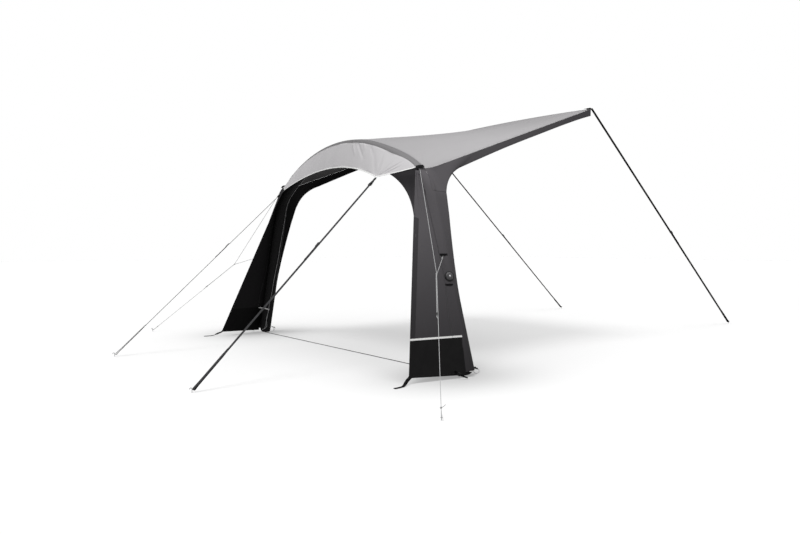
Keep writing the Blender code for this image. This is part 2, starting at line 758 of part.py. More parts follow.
for label, side in SIDES:
    # front strap, visor corner to peg
    top = Vector(VISOR_CORNER) + Vector((0.0, -0.003, -0.008))
    foot = Vector((FRONT_PEG[0], FRONT_PEG[1] + 0.009, 0.012))
    length = (foot - top).length
    d = (foot - top).normalized()
    across = Vector((0.971, 0.160, -0.055))
    across = (across - d * across.dot(d)).normalized()
    ribbon(f"{label}_front_strap", GREY_WEBBING, run(top, foot, 0.060, 0.995, 2),
           WEB_WIDTH, WEB_THICK, side, across)
    block(f"{label}_front_buckle", BLACK_PLASTIC, (0.058, 0.032, 0.012),
          mix(top, foot, 0.032) , (d, across.cross(d)), side, 0.003)
    block(f"{label}_front_adjuster", BLACK_PLASTIC, (0.036, 0.034, 0.006),
          mix(top, foot, 0.365) + across.cross(d).normalized() * -0.0058, (d, across.cross(d)), side, 0.0015)
    peg(f"{label}_front_peg", FRONT_PEG, (0.0, -1.0), side)

    # rear strap, rail corner to peg
    top = Vector((RAIL_X - 0.006, ROOF_DEPTH + 0.011, RAIL_HEIGHT + 0.008))
    foot = Vector((REAR_PEG[0], REAR_PEG[1] - 0.009, 0.012))
    across = Vector((1.0, 0.0, 0.0))
    d = (foot - top).normalized()
    ribbon(f"{label}_rear_strap", BLACK_WEBBING, run(top, foot, 0.006, 0.995, 2),
           WEB_WIDTH, WEB_THICK, side, across)
    block(f"{label}_rear_adjuster", BLACK_PLASTIC, (0.036, 0.034, 0.006),
          mix(top, foot, 0.52) + across.cross(d).normalized() * 0.0058, (d, across.cross(d)), side, 0.0015)
    peg(f"{label}_rear_peg", REAR_PEG, (0.0, 1.0), side)

    # storm guy: shoulder to fork to peg
    head = Vector((SHOULDER_X + 0.022, -0.040, SHOULDER_Z - 0.018))
    fork = Vector(STORM_FORK)
    foot = Vector((STORM_PEG[0] - 0.008, STORM_PEG[1] + 0.006, 0.016))
    tube(f"{label}_storm_guy", GUY_CORD, run(head, fork, 0.0, 1.0, 3) + run(fork, foot, 0.12, 1.0, 3),
         CORD_RADIUS, 2, side)
    loop = hull(LOOP_HEIGHT - 0.020, -0.046, 0.0095)
    tube(f"{label}_storm_guy_branch", GUY_CORD,
         run(loop, fork + Vector((-0.003, 0.0052, 0.0)), 0.0, 0.985, 3), CORD_RADIUS, 2, side)
    d = (foot - fork).normalized()
    block(f"{label}_guy_runner", BLACK_PLASTIC, (0.034, 0.013, 0.006),
          mix(fork, foot, 0.33) + d.cross(Vector((0, 0, 1))).normalized() * 0.0094,
          (d, (0, 0, 1)), side, 0.0015)
    peg(f"{label}_storm_peg", STORM_PEG, (0.77, -0.64), side)

    # mid-leg loop that takes the lower branch of the storm guy
    def loop_surface(u, v):
        return hull(LOOP_HEIGHT + lerp(-0.008, 0.008, v), lerp(-0.064, -0.002, u), 0.0036)
    sheet(f"{label}_guy_loop", BLACK_WEBBING, 8, 1, loop_surface, thickness=0.0022,
          side=side, outward=(1, 0, 0))

    # peg tabs at the foot of the leg
    fx, fy, fz = LEG_FRONT_BASE
    flat = WEB_THICK + 0.0002
    ribbon(f"{label}_front_peg_tab", BLACK_WEBBING,
           [(fx + 0.003, fy - 0.006, fz - 0.004), (fx + 0.026, fy - 0.050, 0.018),
            (fx + 0.046, fy - 0.090, flat), (fx + 0.057, fy - 0.172, flat)],
           0.022, WEB_THICK, side, (1.0, 0.28, 0.0))
    ribbon(f"{label}_beam_peg_tab", BLACK_WEBBING,
           [(1.679, -0.146, 0.026), (1.697, -0.130, 0.012), (1.712, -0.117, flat), (1.741, -0.092, flat)],
           0.022, WEB_THICK, side, (0.55, -0.64, 0.0))

    # ring and its short tab at the rear corner of the leg
    ring = Vector((1.627, 0.117, 0.0028))
    tube(f"{label}_foot_ring", PEG_STEEL,
         [ring + Vector((0.0150 * math.cos(math.tau * i / 16), 0.0150 * math.sin(math.tau * i / 16), 0.0))
          for i in range(16)], 0.0025, 2, side, closed=True)
    ribbon(f"{label}_rear_peg_tab", BLACK_WEBBING,
           [(1.643, 0.0800, 0.032), (1.640, 0.0830, 0.020), (1.634, 0.0920, 0.0095)],
           0.016, WEB_THICK, side, (0.9, -0.25, 0.0))

# inflation valve on the right-hand leg: a flanged cap with a screw-down lid,
# drawn as a profile turned about its own axis
valve_at = hull(VALVE_HEIGHT, -0.024, 0.0003)
valve_out = hull(VALVE_HEIGHT, -0.024, 1.0) - hull(VALVE_HEIGHT, -0.024)
valve_out = Vector((valve_out.x, valve_out.y, BEAM_LEAN * valve_out.x)).normalized()
rim = VALVE_DIAMETER / 2.0
profile = [(0.010, 0.0165), (0.0215, 0.0165), (0.0235, 0.0145), (0.0240, 0.0075),
           (rim - 0.004, 0.0062), (rim, 0.0045), (rim, 0.0030)]
bm = bmesh.new()
line = [bm.verts.new((r, 0.0, z)) for r, z in [(0.0, 0.0165)] + profile + [(0.0, 0.0030)]]
for a, b in zip(line, line[1:]):
    bm.edges.new((a, b))
mesh = bpy.data.meshes.new("inflation_valve")
bm.to_mesh(mesh)
bm.free()
valve = bpy.data.objects.new("inflation_valve", mesh)
parts.objects.link(valve)
adopt(valve, BLACK_PLASTIC)
valve_side = Vector((0.0, 0.0, 1.0)).cross(valve_out).normalized()
valve_up = valve_out.cross(valve_side)
valve.matrix_local = (Matrix.Translation(placed(valve_at))
                      @ Matrix((valve_side, valve_up, valve_out)).transposed().to_4x4())
turn = valve.modifiers.new("turn", "SCREW")
turn.angle = math.tau
turn.steps = 32
turn.render_steps = 32
turn.use_merge_vertices = True
turn.merge_threshold = 0.0001
turn.use_normal_calculate = True
turn.use_normal_flip = True

ribbon("valve_tab", BLACK_WEBBING,
       [hull(0.678, lerp(-0.070, -0.008, i / 6.0), 0.0036) for i in range(7)],
       0.012, WEB_THICK, 1.0, (-BEAM_LEAN, 0.0, 1.0), outward=(1.0, -0.3, 0.0))

tube("ground_strap", BLACK_WEBBING,
     [Vector((lerp(-1.0, 1.0, i / 8.0) * (BEAM_FOOT_X - BEAM_RADIUS - 0.002), -0.03, 0.0030)) for i in range(9)],
     0.0029, sides=2)
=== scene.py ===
import math

import bmesh
import bpy
from mathutils import Matrix, Vector, noise


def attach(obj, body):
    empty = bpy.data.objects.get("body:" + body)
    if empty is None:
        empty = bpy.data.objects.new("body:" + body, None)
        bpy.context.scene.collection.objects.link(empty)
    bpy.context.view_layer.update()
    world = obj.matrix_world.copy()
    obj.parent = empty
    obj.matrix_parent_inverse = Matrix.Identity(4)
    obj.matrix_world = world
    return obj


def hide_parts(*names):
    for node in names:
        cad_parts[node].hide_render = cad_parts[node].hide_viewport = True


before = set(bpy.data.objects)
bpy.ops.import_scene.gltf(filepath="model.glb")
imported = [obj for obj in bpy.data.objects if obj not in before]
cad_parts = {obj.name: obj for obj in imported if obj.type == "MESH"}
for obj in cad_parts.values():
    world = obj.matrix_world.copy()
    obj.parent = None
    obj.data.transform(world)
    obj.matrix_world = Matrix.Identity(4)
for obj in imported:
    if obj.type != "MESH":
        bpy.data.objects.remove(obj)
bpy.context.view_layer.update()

# --------------------------------------------------------------------------
# Dimensions, the same as the CAD part's
# --------------------------------------------------------------------------
RAIL_WIDTH = 2.50
RAIL_HEIGHT = 2.318
ROOF_DEPTH = 2.072
ROOF_BOW = 0.030
ARCH_RADIUS = 1.94
ARCH_APEX = 1.952
SHOULDER_X = 1.12
ROOF_TUCK = 0.024
BEAM_RADIUS = 0.0545
BEAM_FOOT_X = 1.635
BEAM_LEAN = 0.305
BEAM_STRAIGHT_TOP = 1.36
SLEEVE_RADIUS = 0.0600
HULL_RADIUS = 0.0620
FABRIC = 0.0030
LEG_FRONT_BASE = (1.605, -0.533, 0.040)
LEG_FRONT_TOP = (1.221, -0.170, 1.199)
CREASE_TOP = (1.110, -0.062, 1.586)
SEAM_TOP = (1.130, -0.044, 1.590)
HEAD_TOP = (1.130, 0.020, 1.594)
REAR_REACH = 0.020
FLAP_SPLIT_Z = 1.413
VISOR_CORNER = (0.779, -0.207, 1.539)
VISOR_MID_Y = -0.150
VISOR_MID_Z = 1.688
VISOR_SIDE_END = (1.112, -0.036, 1.603)
TAPE_LOW = 0.289
TAPE_HIGH = 0.303
SKIRT_REAR_LOW = -0.055
SKIRT_REAR_HIGH = -0.020
HEM_FRONT, HEM_REAR = 0.043, 0.020
REAR_HEM = (0.040, 0.034)
HEAD_Y = -0.015
FRONT_PEG = (0.911, -1.818)
REAR_PEG = (1.291, 4.938)
STORM_PEG = (2.455, -0.994)
STORM_FORK = (1.682, -0.342, 0.772)
PEG_RISE = 0.034
PEG_HOOK = 0.016
WEB_WIDTH = 0.025
LOOP_HEIGHT = 0.905
VALVE_HEIGHT = 0.740
Y_MID = 1.56
SIDES = (("right", 1.0), ("left", -1.0))

CLOTH = 0.0011             # thickness the cloth is drawn with


# --------------------------------------------------------------------------
# Helpers
# --------------------------------------------------------------------------
def lerp(a, b, t):
    return a + (b - a) * t


def mix(p, q, t):
    return Vector(p) * (1.0 - t) + Vector(q) * t


def clamp(t, low=0.0, high=1.0):
    return min(high, max(low, t))


def smooth(t):
    t = clamp(t)
    return t * t * (3.0 - 2.0 * t)


def bump(t, centre, half):
    """1 at the centre, easing to 0 at centre - half and centre + half."""
    return smooth(1.0 - abs(t - centre) / half)


def rough(x, y, z=0.0):
    return noise.noise(Vector((x, y, z)))


def placed(p, side=1.0):
    return Vector((p[0] * side, p[1] - Y_MID, p[2]))


def turned(p, side=1.0):
    return Vector((p[0] * side, p[1], p[2]))


def link(obj):
    bpy.context.scene.collection.objects.link(obj)
    return obj


# --------------------------------------------------------------------------
# Lines the canopy is drawn from
# --------------------------------------------------------------------------
ARCH_CENTRE_Z = ARCH_APEX - ARCH_RADIUS
SHOULDER_Z = ARCH_CENTRE_Z + math.sqrt(ARCH_RADIUS ** 2 - SHOULDER_X ** 2)
RAIL_X = RAIL_WIDTH / 2.0


def arch_z(x, inset=0.0):
    return ARCH_CENTRE_Z + math.sqrt((ARCH_RADIUS - inset) ** 2 - x * x)


def beam_x(z):
    return BEAM_FOOT_X - BEAM_LEAN * z


def beam_line(leg=24, bend=22, arc=34):
    radius = ARCH_RADIUS - SLEEVE_RADIUS - FABRIC
    p0 = Vector((beam_x(BEAM_STRAIGHT_TOP), BEAM_STRAIGHT_TOP))
    d = Vector((-BEAM_LEAN, 1.0)).normalized()
    n = Vector((-d.y, d.x))
    c0 = Vector((0.0, ARCH_CENTRE_Z))
    w = p0 - c0
    r = (radius ** 2 - w.dot(w)) / (2.0 * (radius + w.dot(n)))
    c = p0 + n * r
    a0 = math.atan2(p0.y - c.y, p0.x - c.x)
    a1 = math.atan2(c.y - c0.y, c.x - c0.x)
    pts = [(beam_x(0.04), 0.0), (beam_x(0.04), 0.04)]
    pts += [(beam_x(z), z) for z in [lerp(0.04, BEAM_STRAIGHT_TOP, i / leg) for i in range(1, leg)]]
    pts += [(c.x + r * math.cos(a), c.y + r * math.sin(a))
            for a in [lerp(a0, a1, i / bend) for i in range(bend + 1)]]
    pts += [(radius * math.cos(a), ARCH_CENTRE_Z + radius * math.sin(a))
            for a in [lerp(a1, math.pi / 2.0, i / arc) for i in range(1, arc + 1)]]
    full = [Vector((x, 0.0, z)) for x, z in pts]
    return full + [Vector((-x, 0.0, z)) for x, z in reversed(pts[:-1])]


BEAM_PATH = beam_line()
HALF_PATH = BEAM_PATH[:len(BEAM_PATH) // 2 + 1]


def drape(p, radius=SLEEVE_RADIUS):
    """Lifts a cloth point that would fall inside the sleeve out onto it."""
    q = Vector((abs(p.x), p.y, p.z))
    if abs(q.y) > radius:
        return p
    best, at = 1e9, None
    for a, b in zip(HALF_PATH, HALF_PATH[1:]):
        if abs(a.x - q.x) > 0.2 or abs(a.z - q.z) > 0.2:
            continue
        ab = b - a
        t = clamp((q - a).dot(ab) / ab.dot(ab))
        c = a + ab * t
        gap = (q - c).length
        if gap < best:
            best, at = gap, c
    if best >= radius:
        return p
    out = at + (q - at).normalized() * radius
    return Vector((math.copysign(out.x, p.x), out.y, out.z))


def beam_centre(z):
    if z <= 0.04:
        return beam_x(0.04)
    if z <= BEAM_STRAIGHT_TOP:
        return beam_x(z)
    for a, b in zip(HALF_PATH, HALF_PATH[1:]):
        if a.z <= z <= b.z:
            return lerp(a.x, b.x, (z - a.z) / (b.z - a.z))
    return SHOULDER_X


def edge_line(t):
    return lerp(SHOULDER_Z - ROOF_TUCK, RAIL_HEIGHT, t)


def edge_lift(t):
    return ROOF_TUCK * max(0.0, 1.0 - ROOF_DEPTH * t / 0.17) ** 2


def roof_edge(t):
    return Vector((lerp(SHOULDER_X, RAIL_X, t), ROOF_DEPTH * t, edge_line(t) + edge_lift(t)))


def leg_front(z):
    if z <= LEG_FRONT_TOP[2]:
        t = (z - LEG_FRONT_BASE[2]) / (LEG_FRONT_TOP[2] - LEG_FRONT_BASE[2])
        return mix(LEG_FRONT_BASE, LEG_FRONT_TOP, t)
    t = (z - LEG_FRONT_TOP[2]) / (CREASE_TOP[2] - LEG_FRONT_TOP[2])
    return mix(LEG_FRONT_TOP, CREASE_TOP, t)


def rear_edge_y(z):
    return 0.077 + 0.104 * clamp((z - 0.55) / (FLAP_SPLIT_Z - 0.55)) ** 1.45


def leg_rear(z):
    return Vector((beam_centre(z) + REAR_REACH - 0.008 * smooth((z - 1.2) / 0.2), rear_edge_y(z), z))


def hull(z, y, lift=0.0):
    """Cloth of the leg drawn tight round the leaning beam."""
    bx, r, long = beam_centre(z), HULL_RADIUS, math.sqrt(1.0 + BEAM_LEAN ** 2)
    front, rear = leg_front(z), leg_rear(z)
    fx, rx = (front.x - bx) / long, (rear.x - bx) / long
    fa = math.atan2(front.y, fx) + math.acos(min(1.0, r / math.hypot(front.y, fx)))
    ra = math.atan2(rear.y, rx) - math.acos(min(1.0, r / math.hypot(rear.y, rx)))
    y0, y1 = r * math.sin(fa), r * math.sin(ra)
    if y <= y0:
        a = fa
        x = lerp(fx, r * math.cos(fa), (y - front.y) / (y0 - front.y))
    elif y < y1:
        a = math.asin(y / r)
        x = math.sqrt(r * r - y * y)
    else:
        a = ra
        x = lerp(r * math.cos(ra), rx, (y - y1) / (rear.y - y1))
    out = Vector((math.cos(a) / long, math.sin(a), 0.0)).normalized()
    return Vector((bx + x * long, y, z)) + out * lift


def leg_seam(z):
    y = -0.064 - 0.037 * smooth((0.74 - z) / 0.34)
    if z <= BEAM_STRAIGHT_TOP:
        return hull(z, y)
    t = (z - BEAM_STRAIGHT_TOP) / (SEAM_TOP[2] - BEAM_STRAIGHT_TOP)
    return drape(mix(hull(BEAM_STRAIGHT_TOP, y), SEAM_TOP, t), HULL_RADIUS)


def head_line(z):
    t = (z - FLAP_SPLIT_Z) / (HEAD_TOP[2] - FLAP_SPLIT_Z)
    return drape(mix(hull(FLAP_SPLIT_Z, -0.015), HEAD_TOP, t), HULL_RADIUS)


def skirt_rear(z):
    return lerp(SKIRT_REAR_LOW, SKIRT_REAR_HIGH, z / TAPE_HIGH)


# --------------------------------------------------------------------------
# Materials: every finish is procedural and keyed to real thread sizes
# --------------------------------------------------------------------------
class Graph:
    """Short hand for building one material's nodes."""

    def __init__(self, name, colour, roughness, metallic=0.0, specular=0.3, sheen=0.0):
        self.mat = bpy.data.materials.new(name)
        self.mat.use_nodes = True
        self.mat.diffuse_color = (*colour, 1.0)
        self.tree = self.mat.node_tree
        self.shader = self.tree.nodes["Principled BSDF"]
        self.shader.inputs["Base Color"].default_value = (*colour, 1.0)
        self.shader.inputs["Roughness"].default_value = roughness
        self.shader.inputs["Metallic"].default_value = metallic
        self.shader.inputs["Specular IOR Level"].default_value = specular
        self.shader.inputs["Sheen Weight"].default_value = sheen
        self.shader.inputs["Sheen Roughness"].default_value = 0.5
        self.colour = colour

    def add(self, kind, **settings):
        node = self.tree.nodes.new(kind)
        for key, value in settings.items():
            setattr(node, key, value)
        return node

    def wire(self, a, b):
        self.tree.links.new(a, b)

    def math(self, op, a, b=None, c=None):
        node = self.add("ShaderNodeMath", operation=op)
        for slot, value in zip(node.inputs, (a, b, c)):
            if value is None:
                continue
            if isinstance(value, (int, float)):
                slot.default_value = value
            else:
                self.wire(value, slot)
        return node.outputs[0]

    def uv(self):
        coord = self.add("ShaderNodeTexCoord")
        parts = self.add("ShaderNodeSeparateXYZ")
        self.wire(coord.outputs["UV"], parts.inputs[0])
        return coord.outputs["UV"], parts.outputs[0], parts.outputs[1]

    def where(self):
        return self.add("ShaderNodeTexCoord").outputs["Object"]

    def noise(self, vector, scale, detail=2.0, rough=0.5):
        node = self.add("ShaderNodeTexNoise")
        node.inputs["Scale"].default_value = scale
        node.inputs["Detail"].default_value = detail
        node.inputs["Roughness"].default_value = rough
        self.wire(vector, node.inputs["Vector"])
        return node.outputs["Fac"]

    def shade(self, factor, low, high, painted_shade_scale=None):
        """Base colour times a factor that runs from low to high, and times painted_shade_scale, a painted shade factor,
        where one is given.
        """
        ramp = self.add("ShaderNodeMapRange")
        ramp.inputs["To Min"].default_value = low
        ramp.inputs["To Max"].default_value = high
        self.wire(factor, ramp.inputs["Value"])
        scale = self.add("ShaderNodeVectorMath", operation="SCALE")
        scale.inputs[0].default_value = self.colour
        amount = ramp.outputs["Result"]
        if painted_shade_scale is not None:
            amount = self.math("MULTIPLY", amount, painted_shade_scale)
        self.wire(amount, scale.inputs["Scale"])
        self.wire(scale.outputs[0], self.shader.inputs["Base Color"])

    def spread(self, factor, low, high):
        ramp = self.add("ShaderNodeMapRange")
        ramp.inputs["To Min"].default_value = low
        ramp.inputs["To Max"].default_value = high
        self.wire(factor, ramp.inputs["Value"])
        self.wire(ramp.outputs["Result"], self.shader.inputs["Roughness"])

    def relief(self, height, strength, distance):
        node = self.add("ShaderNodeBump")
        node.inputs["Strength"].default_value = strength
        node.inputs["Distance"].default_value = distance
        self.wire(height, node.inputs["Height"])
        self.wire(node.outputs["Normal"], self.shader.inputs["Normal"])


def weave_cloth(name, colour, roughness=0.8, thread=0.0011, specular=0.06, sheen=0.0,
                strength=0.35, cloudy=0.035, fall=None):
    """Plain weave: over and under threads both ways, slubs, and faint clouds.
    `fall` is (height, tone, height, tone): painted shade, the cloth's colour scaled from the first tone at the first
    height to the second tone at the second height."""
    g = Graph(name, colour, roughness, specular=specular, sheen=sheen)
    uv, u, v = g.uv()
    turn = math.tau / thread
    wave = g.math("MULTIPLY", g.math("SINE", g.math("MULTIPLY", u, turn)),
                  g.math("SINE", g.math("MULTIPLY", v, turn)))
    slub = g.noise(uv, 520.0, 1.0)
    clouds = g.noise(g.where(), 3.1, 4.0, 0.55)
    height = g.math("ADD", wave, g.math("MULTIPLY", slub, 1.2))
    tone = g.math("ADD", g.math("MULTIPLY", clouds, 0.62),
                  g.math("ADD", g.math("MULTIPLY", slub, 0.26), g.math("MULTIPLY", wave, 0.06)))
    painted_shade_factor = None
    # painted shade: the base colour is scaled by height
    if fall:
        level = g.add("ShaderNodeSeparateXYZ")
        g.wire(g.add("ShaderNodeNewGeometry").outputs["Position"], level.inputs[0])
        painted_shade_ramp = g.add("ShaderNodeMapRange")
        for socket, value in zip(("From Min", "To Min", "From Max", "To Max"), fall):
            painted_shade_ramp.inputs[socket].default_value = value
        g.wire(level.outputs[2], painted_shade_ramp.inputs["Value"])
        painted_shade_factor = painted_shade_ramp.outputs["Result"]
    g.shade(tone, 1.0 - cloudy * 1.9, 1.0 + cloudy * 1.6, painted_shade_factor)
    g.spread(slub, roughness - 0.06, roughness + 0.06)
    g.relief(height, strength, 0.00012)
    return g.mat


def coated_cloth(name, colour, roughness=0.38, specular=0.35):
    """PVC-coated cloth: the weave only prints through, with a faint sheen."""
    g = Graph(name, colour, roughness, specular=specular)
    uv, u, v = g.uv()
    turn = math.tau / 0.0022
    wave = g.math("MULTIPLY", g.math("SINE", g.math("MULTIPLY", u, turn)),
                  g.math("SINE", g.math("MULTIPLY", v, turn)))
    scuff = g.noise(g.where(), 14.0, 5.0, 0.6)
    fine = g.noise(uv, 260.0, 2.0)
    g.shade(scuff, 0.75, 1.35)
    g.spread(scuff, roughness - 0.08, roughness + 0.14)
    g.relief(g.math("ADD", g.math("MULTIPLY", wave, 0.35), fine), 0.25, 0.0002)
    return g.mat


def webbing_cloth(name, colour, roughness=0.72, rib=0.0021, specular=0.2, contrast=0.30):
    """Herringbone webbing; U runs across the strap and V along it."""
    g = Graph(name, colour, roughness, specular=specular)
    uv, u, v = g.uv()
    slant = g.math("PINGPONG", u, 0.0042)
    ribs = g.math("SINE", g.math("MULTIPLY", g.math("ADD", v, g.math("MULTIPLY", slant, 0.9)),
                                 math.tau / rib))
    warp = g.math("SINE", g.math("MULTIPLY", u, math.tau / 0.0014))
    fuzz = g.noise(uv, 900.0, 2.0)
    height = g.math("ADD", ribs, g.math("ADD", g.math("MULTIPLY", warp, 0.4), fuzz))
    g.shade(g.math("ADD", g.math("MULTIPLY", ribs, 0.25), fuzz), 1.0 - contrast, 1.0 + contrast)
    g.relief(height, 0.5, 0.00025)
    return g.mat


def braid_cord(name, colour, roughness=0.6, fleck=None):
    """Braided cord; U runs once round it and V along it in metres."""
    g = Graph(name, colour, roughness, specular=0.25, sheen=0.1)
    uv, u, v = g.uv()
    a = g.math("MULTIPLY", u, math.tau * 4.0)
    b = g.math("MULTIPLY", v, math.tau / 0.0060)
    left = g.math("SINE", g.math("ADD", a, b))
    right = g.math("SINE", g.math("SUBTRACT", a, b))
    height = g.math("MULTIPLY", left, right)
    fuzz = g.noise(uv, 700.0, 2.0)
    g.shade(g.math("ADD", g.math("MULTIPLY", height, 0.3), fuzz), 0.68, 1.25)
    g.relief(g.math("ADD", height, fuzz), 0.6, 0.0003)
    return g.mat


def moulded_plastic(name, colour, roughness=0.42, specular=0.45):
    g = Graph(name, colour, roughness, specular=specular)
    at = g.where()
    grain = g.noise(at, 900.0, 2.0)
    scuff = g.noise(at, 60.0, 5.0, 0.6)
    g.shade(scuff, 0.8, 1.35)
    g.spread(scuff, roughness - 0.06, roughness + 0.16)
    g.relief(grain, 0.18, 0.0001)
    return g.mat


def plated_steel(name, colour, roughness=0.32):
    g = Graph(name, colour, roughness, metallic=1.0, specular=0.5)
    at = g.where()
    grain = g.noise(at, 420.0, 4.0, 0.65)
    dull = g.noise(at, 38.0, 3.0)
    g.shade(dull, 0.72, 1.12)
    g.spread(grain, roughness - 0.08, roughness + 0.20)
    g.relief(grain, 0.12, 0.0001)
    return g.mat


# the roof and the visor are one light-grey cloth drawn in two tones: the roof darker and the visor lighter, painted
# shade and light for how each faces the lamps
ROOF = weave_cloth("roof_outside", (0.335, 0.328, 0.335), 0.78)
VISOR = weave_cloth("visor_outside", (0.515, 0.505, 0.515), 0.78)
ROOF_IN = weave_cloth("roof_inside", (0.112, 0.108, 0.109), 0.80, cloudy=0.05)
BAND = weave_cloth("band_outside", (0.183, 0.179, 0.183), 0.80)
# painted shade: the leg cloth and the leg's front hem are drawn darker towards the foot
WALL = weave_cloth("wall_outside", (0.092, 0.087, 0.093), 0.82, cloudy=0.055, fall=(0.05, 0.37, 1.10, 1.0))
HEM = weave_cloth("hem_outside", (0.047, 0.045, 0.048), 0.82, cloudy=0.055, fall=(0.05, 0.55, 1.15, 1.0))
# the gusset cloth is darker than the wall cloth; its fall makes it darker still towards its top, a painted shadow of
# the visor
GUSSET = weave_cloth("gusset_outside", (0.056, 0.053, 0.057), 0.82, cloudy=0.055, fall=(1.20, 1.0, 1.48, 0.40))
WALL_IN = weave_cloth("wall_inside", (0.0160, 0.0152, 0.0160), 0.78, specular=0.04, cloudy=0.08)
SLEEVE = weave_cloth("sleeve_cloth", (0.0165, 0.0158, 0.0165), 0.75, specular=0.06, cloudy=0.08)
SKIRT_IN = coated_cloth("skirt_inside", (0.0030, 0.0029, 0.0030), 0.55, 0.05)
SKIRT = coated_cloth("skirt_coated", (0.0070, 0.0068, 0.0070), 0.45, 0.10)
WHITE = weave_cloth("white_binding", (0.83, 0.83, 0.82), 0.6, thread=0.0009, specular=0.2, sheen=0.0, cloudy=0.02)
BLACK_WEB = webbing_cloth("black_webbing_fine", (0.007, 0.007, 0.0075), specular=0.05)
GREY_WEB = webbing_cloth("grey_webbing_fine", (0.045, 0.045, 0.047), specular=0.08)
CORD = braid_cord("guy_cord_braid", (0.47, 0.47, 0.475))
THREAD = braid_cord("sewing_thread", (0.36, 0.355, 0.36))
THREAD_DARK = braid_cord("sewing_thread_dark", (0.052, 0.050, 0.053))
COIL = braid_cord("zip_coil", (0.40, 0.395, 0.40))
PLASTIC = moulded_plastic("moulded_nylon", (0.009, 0.009, 0.0095), 0.45, 0.22)
VALVE_GREY = moulded_plastic("valve_dome", (0.055, 0.053, 0.056), 0.32, 0.40)
# painted highlight: the valve's button is drawn pale where the dome's highlight falls
VALVE_PAINTED_HIGHLIGHT = moulded_plastic("valve_button_painted_highlight", (0.62, 0.62, 0.63), 0.25, 0.5)
STEEL = plated_steel("zinc_steel", (0.50, 0.50, 0.51))
DARK_STEEL = plated_steel("dark_steel", (0.10, 0.10, 0.105), 0.4)


# --------------------------------------------------------------------------
# Mesh builders
# --------------------------------------------------------------------------
def stops(*pieces):
    """Parameter stops from runs of (end, count); starts at 0."""
    values, at = [0.0], 0.0
    for end, count in pieces:
        values += [lerp(at, end, (i + 1) / count) for i in range(count)]
        at = end
    return values


def as_stops(n):
    return list(n) if hasattr(n, "__len__") else [i / n for i in range(n + 1)]


def drawn_grid(us, vs, surface, side, relief=None, over=None):
    """Points, in the part's frame, of a surface at the given parameters."""
    pts = []
    for v in vs:
        row = []
        for u in us:
            p = surface(u, v)
            if over:
                p = drape(p, over)
            row.append(p)
        pts.append(row)
    nu, nv = len(us), len(vs)
    if relief is not None:
        out = []
        for j in range(nv):
            row = []
            for i in range(nu):
                a = pts[j][min(i + 1, nu - 1)] - pts[j][max(i - 1, 0)]
                b = pts[min(j + 1, nv - 1)][i] - pts[max(j - 1, 0)][i]
                n = a.cross(b)
                n = n.normalized() if n.length > 1e-12 else Vector((0, 0, 1))
                row.append(pts[j][i] + n * relief(us[i], vs[j], pts[j][i]))
            out.append(row)
        pts = out
    return [[placed(p, side) for p in row] for row in pts]


def finish_mesh(obj, mats, angle=50.0):
    obj.data.materials.clear()
    for m in mats:
        obj.data.materials.append(m)
    obj.data.shade_smooth()
    obj.data.set_sharp_from_angle(angle=math.radians(angle))


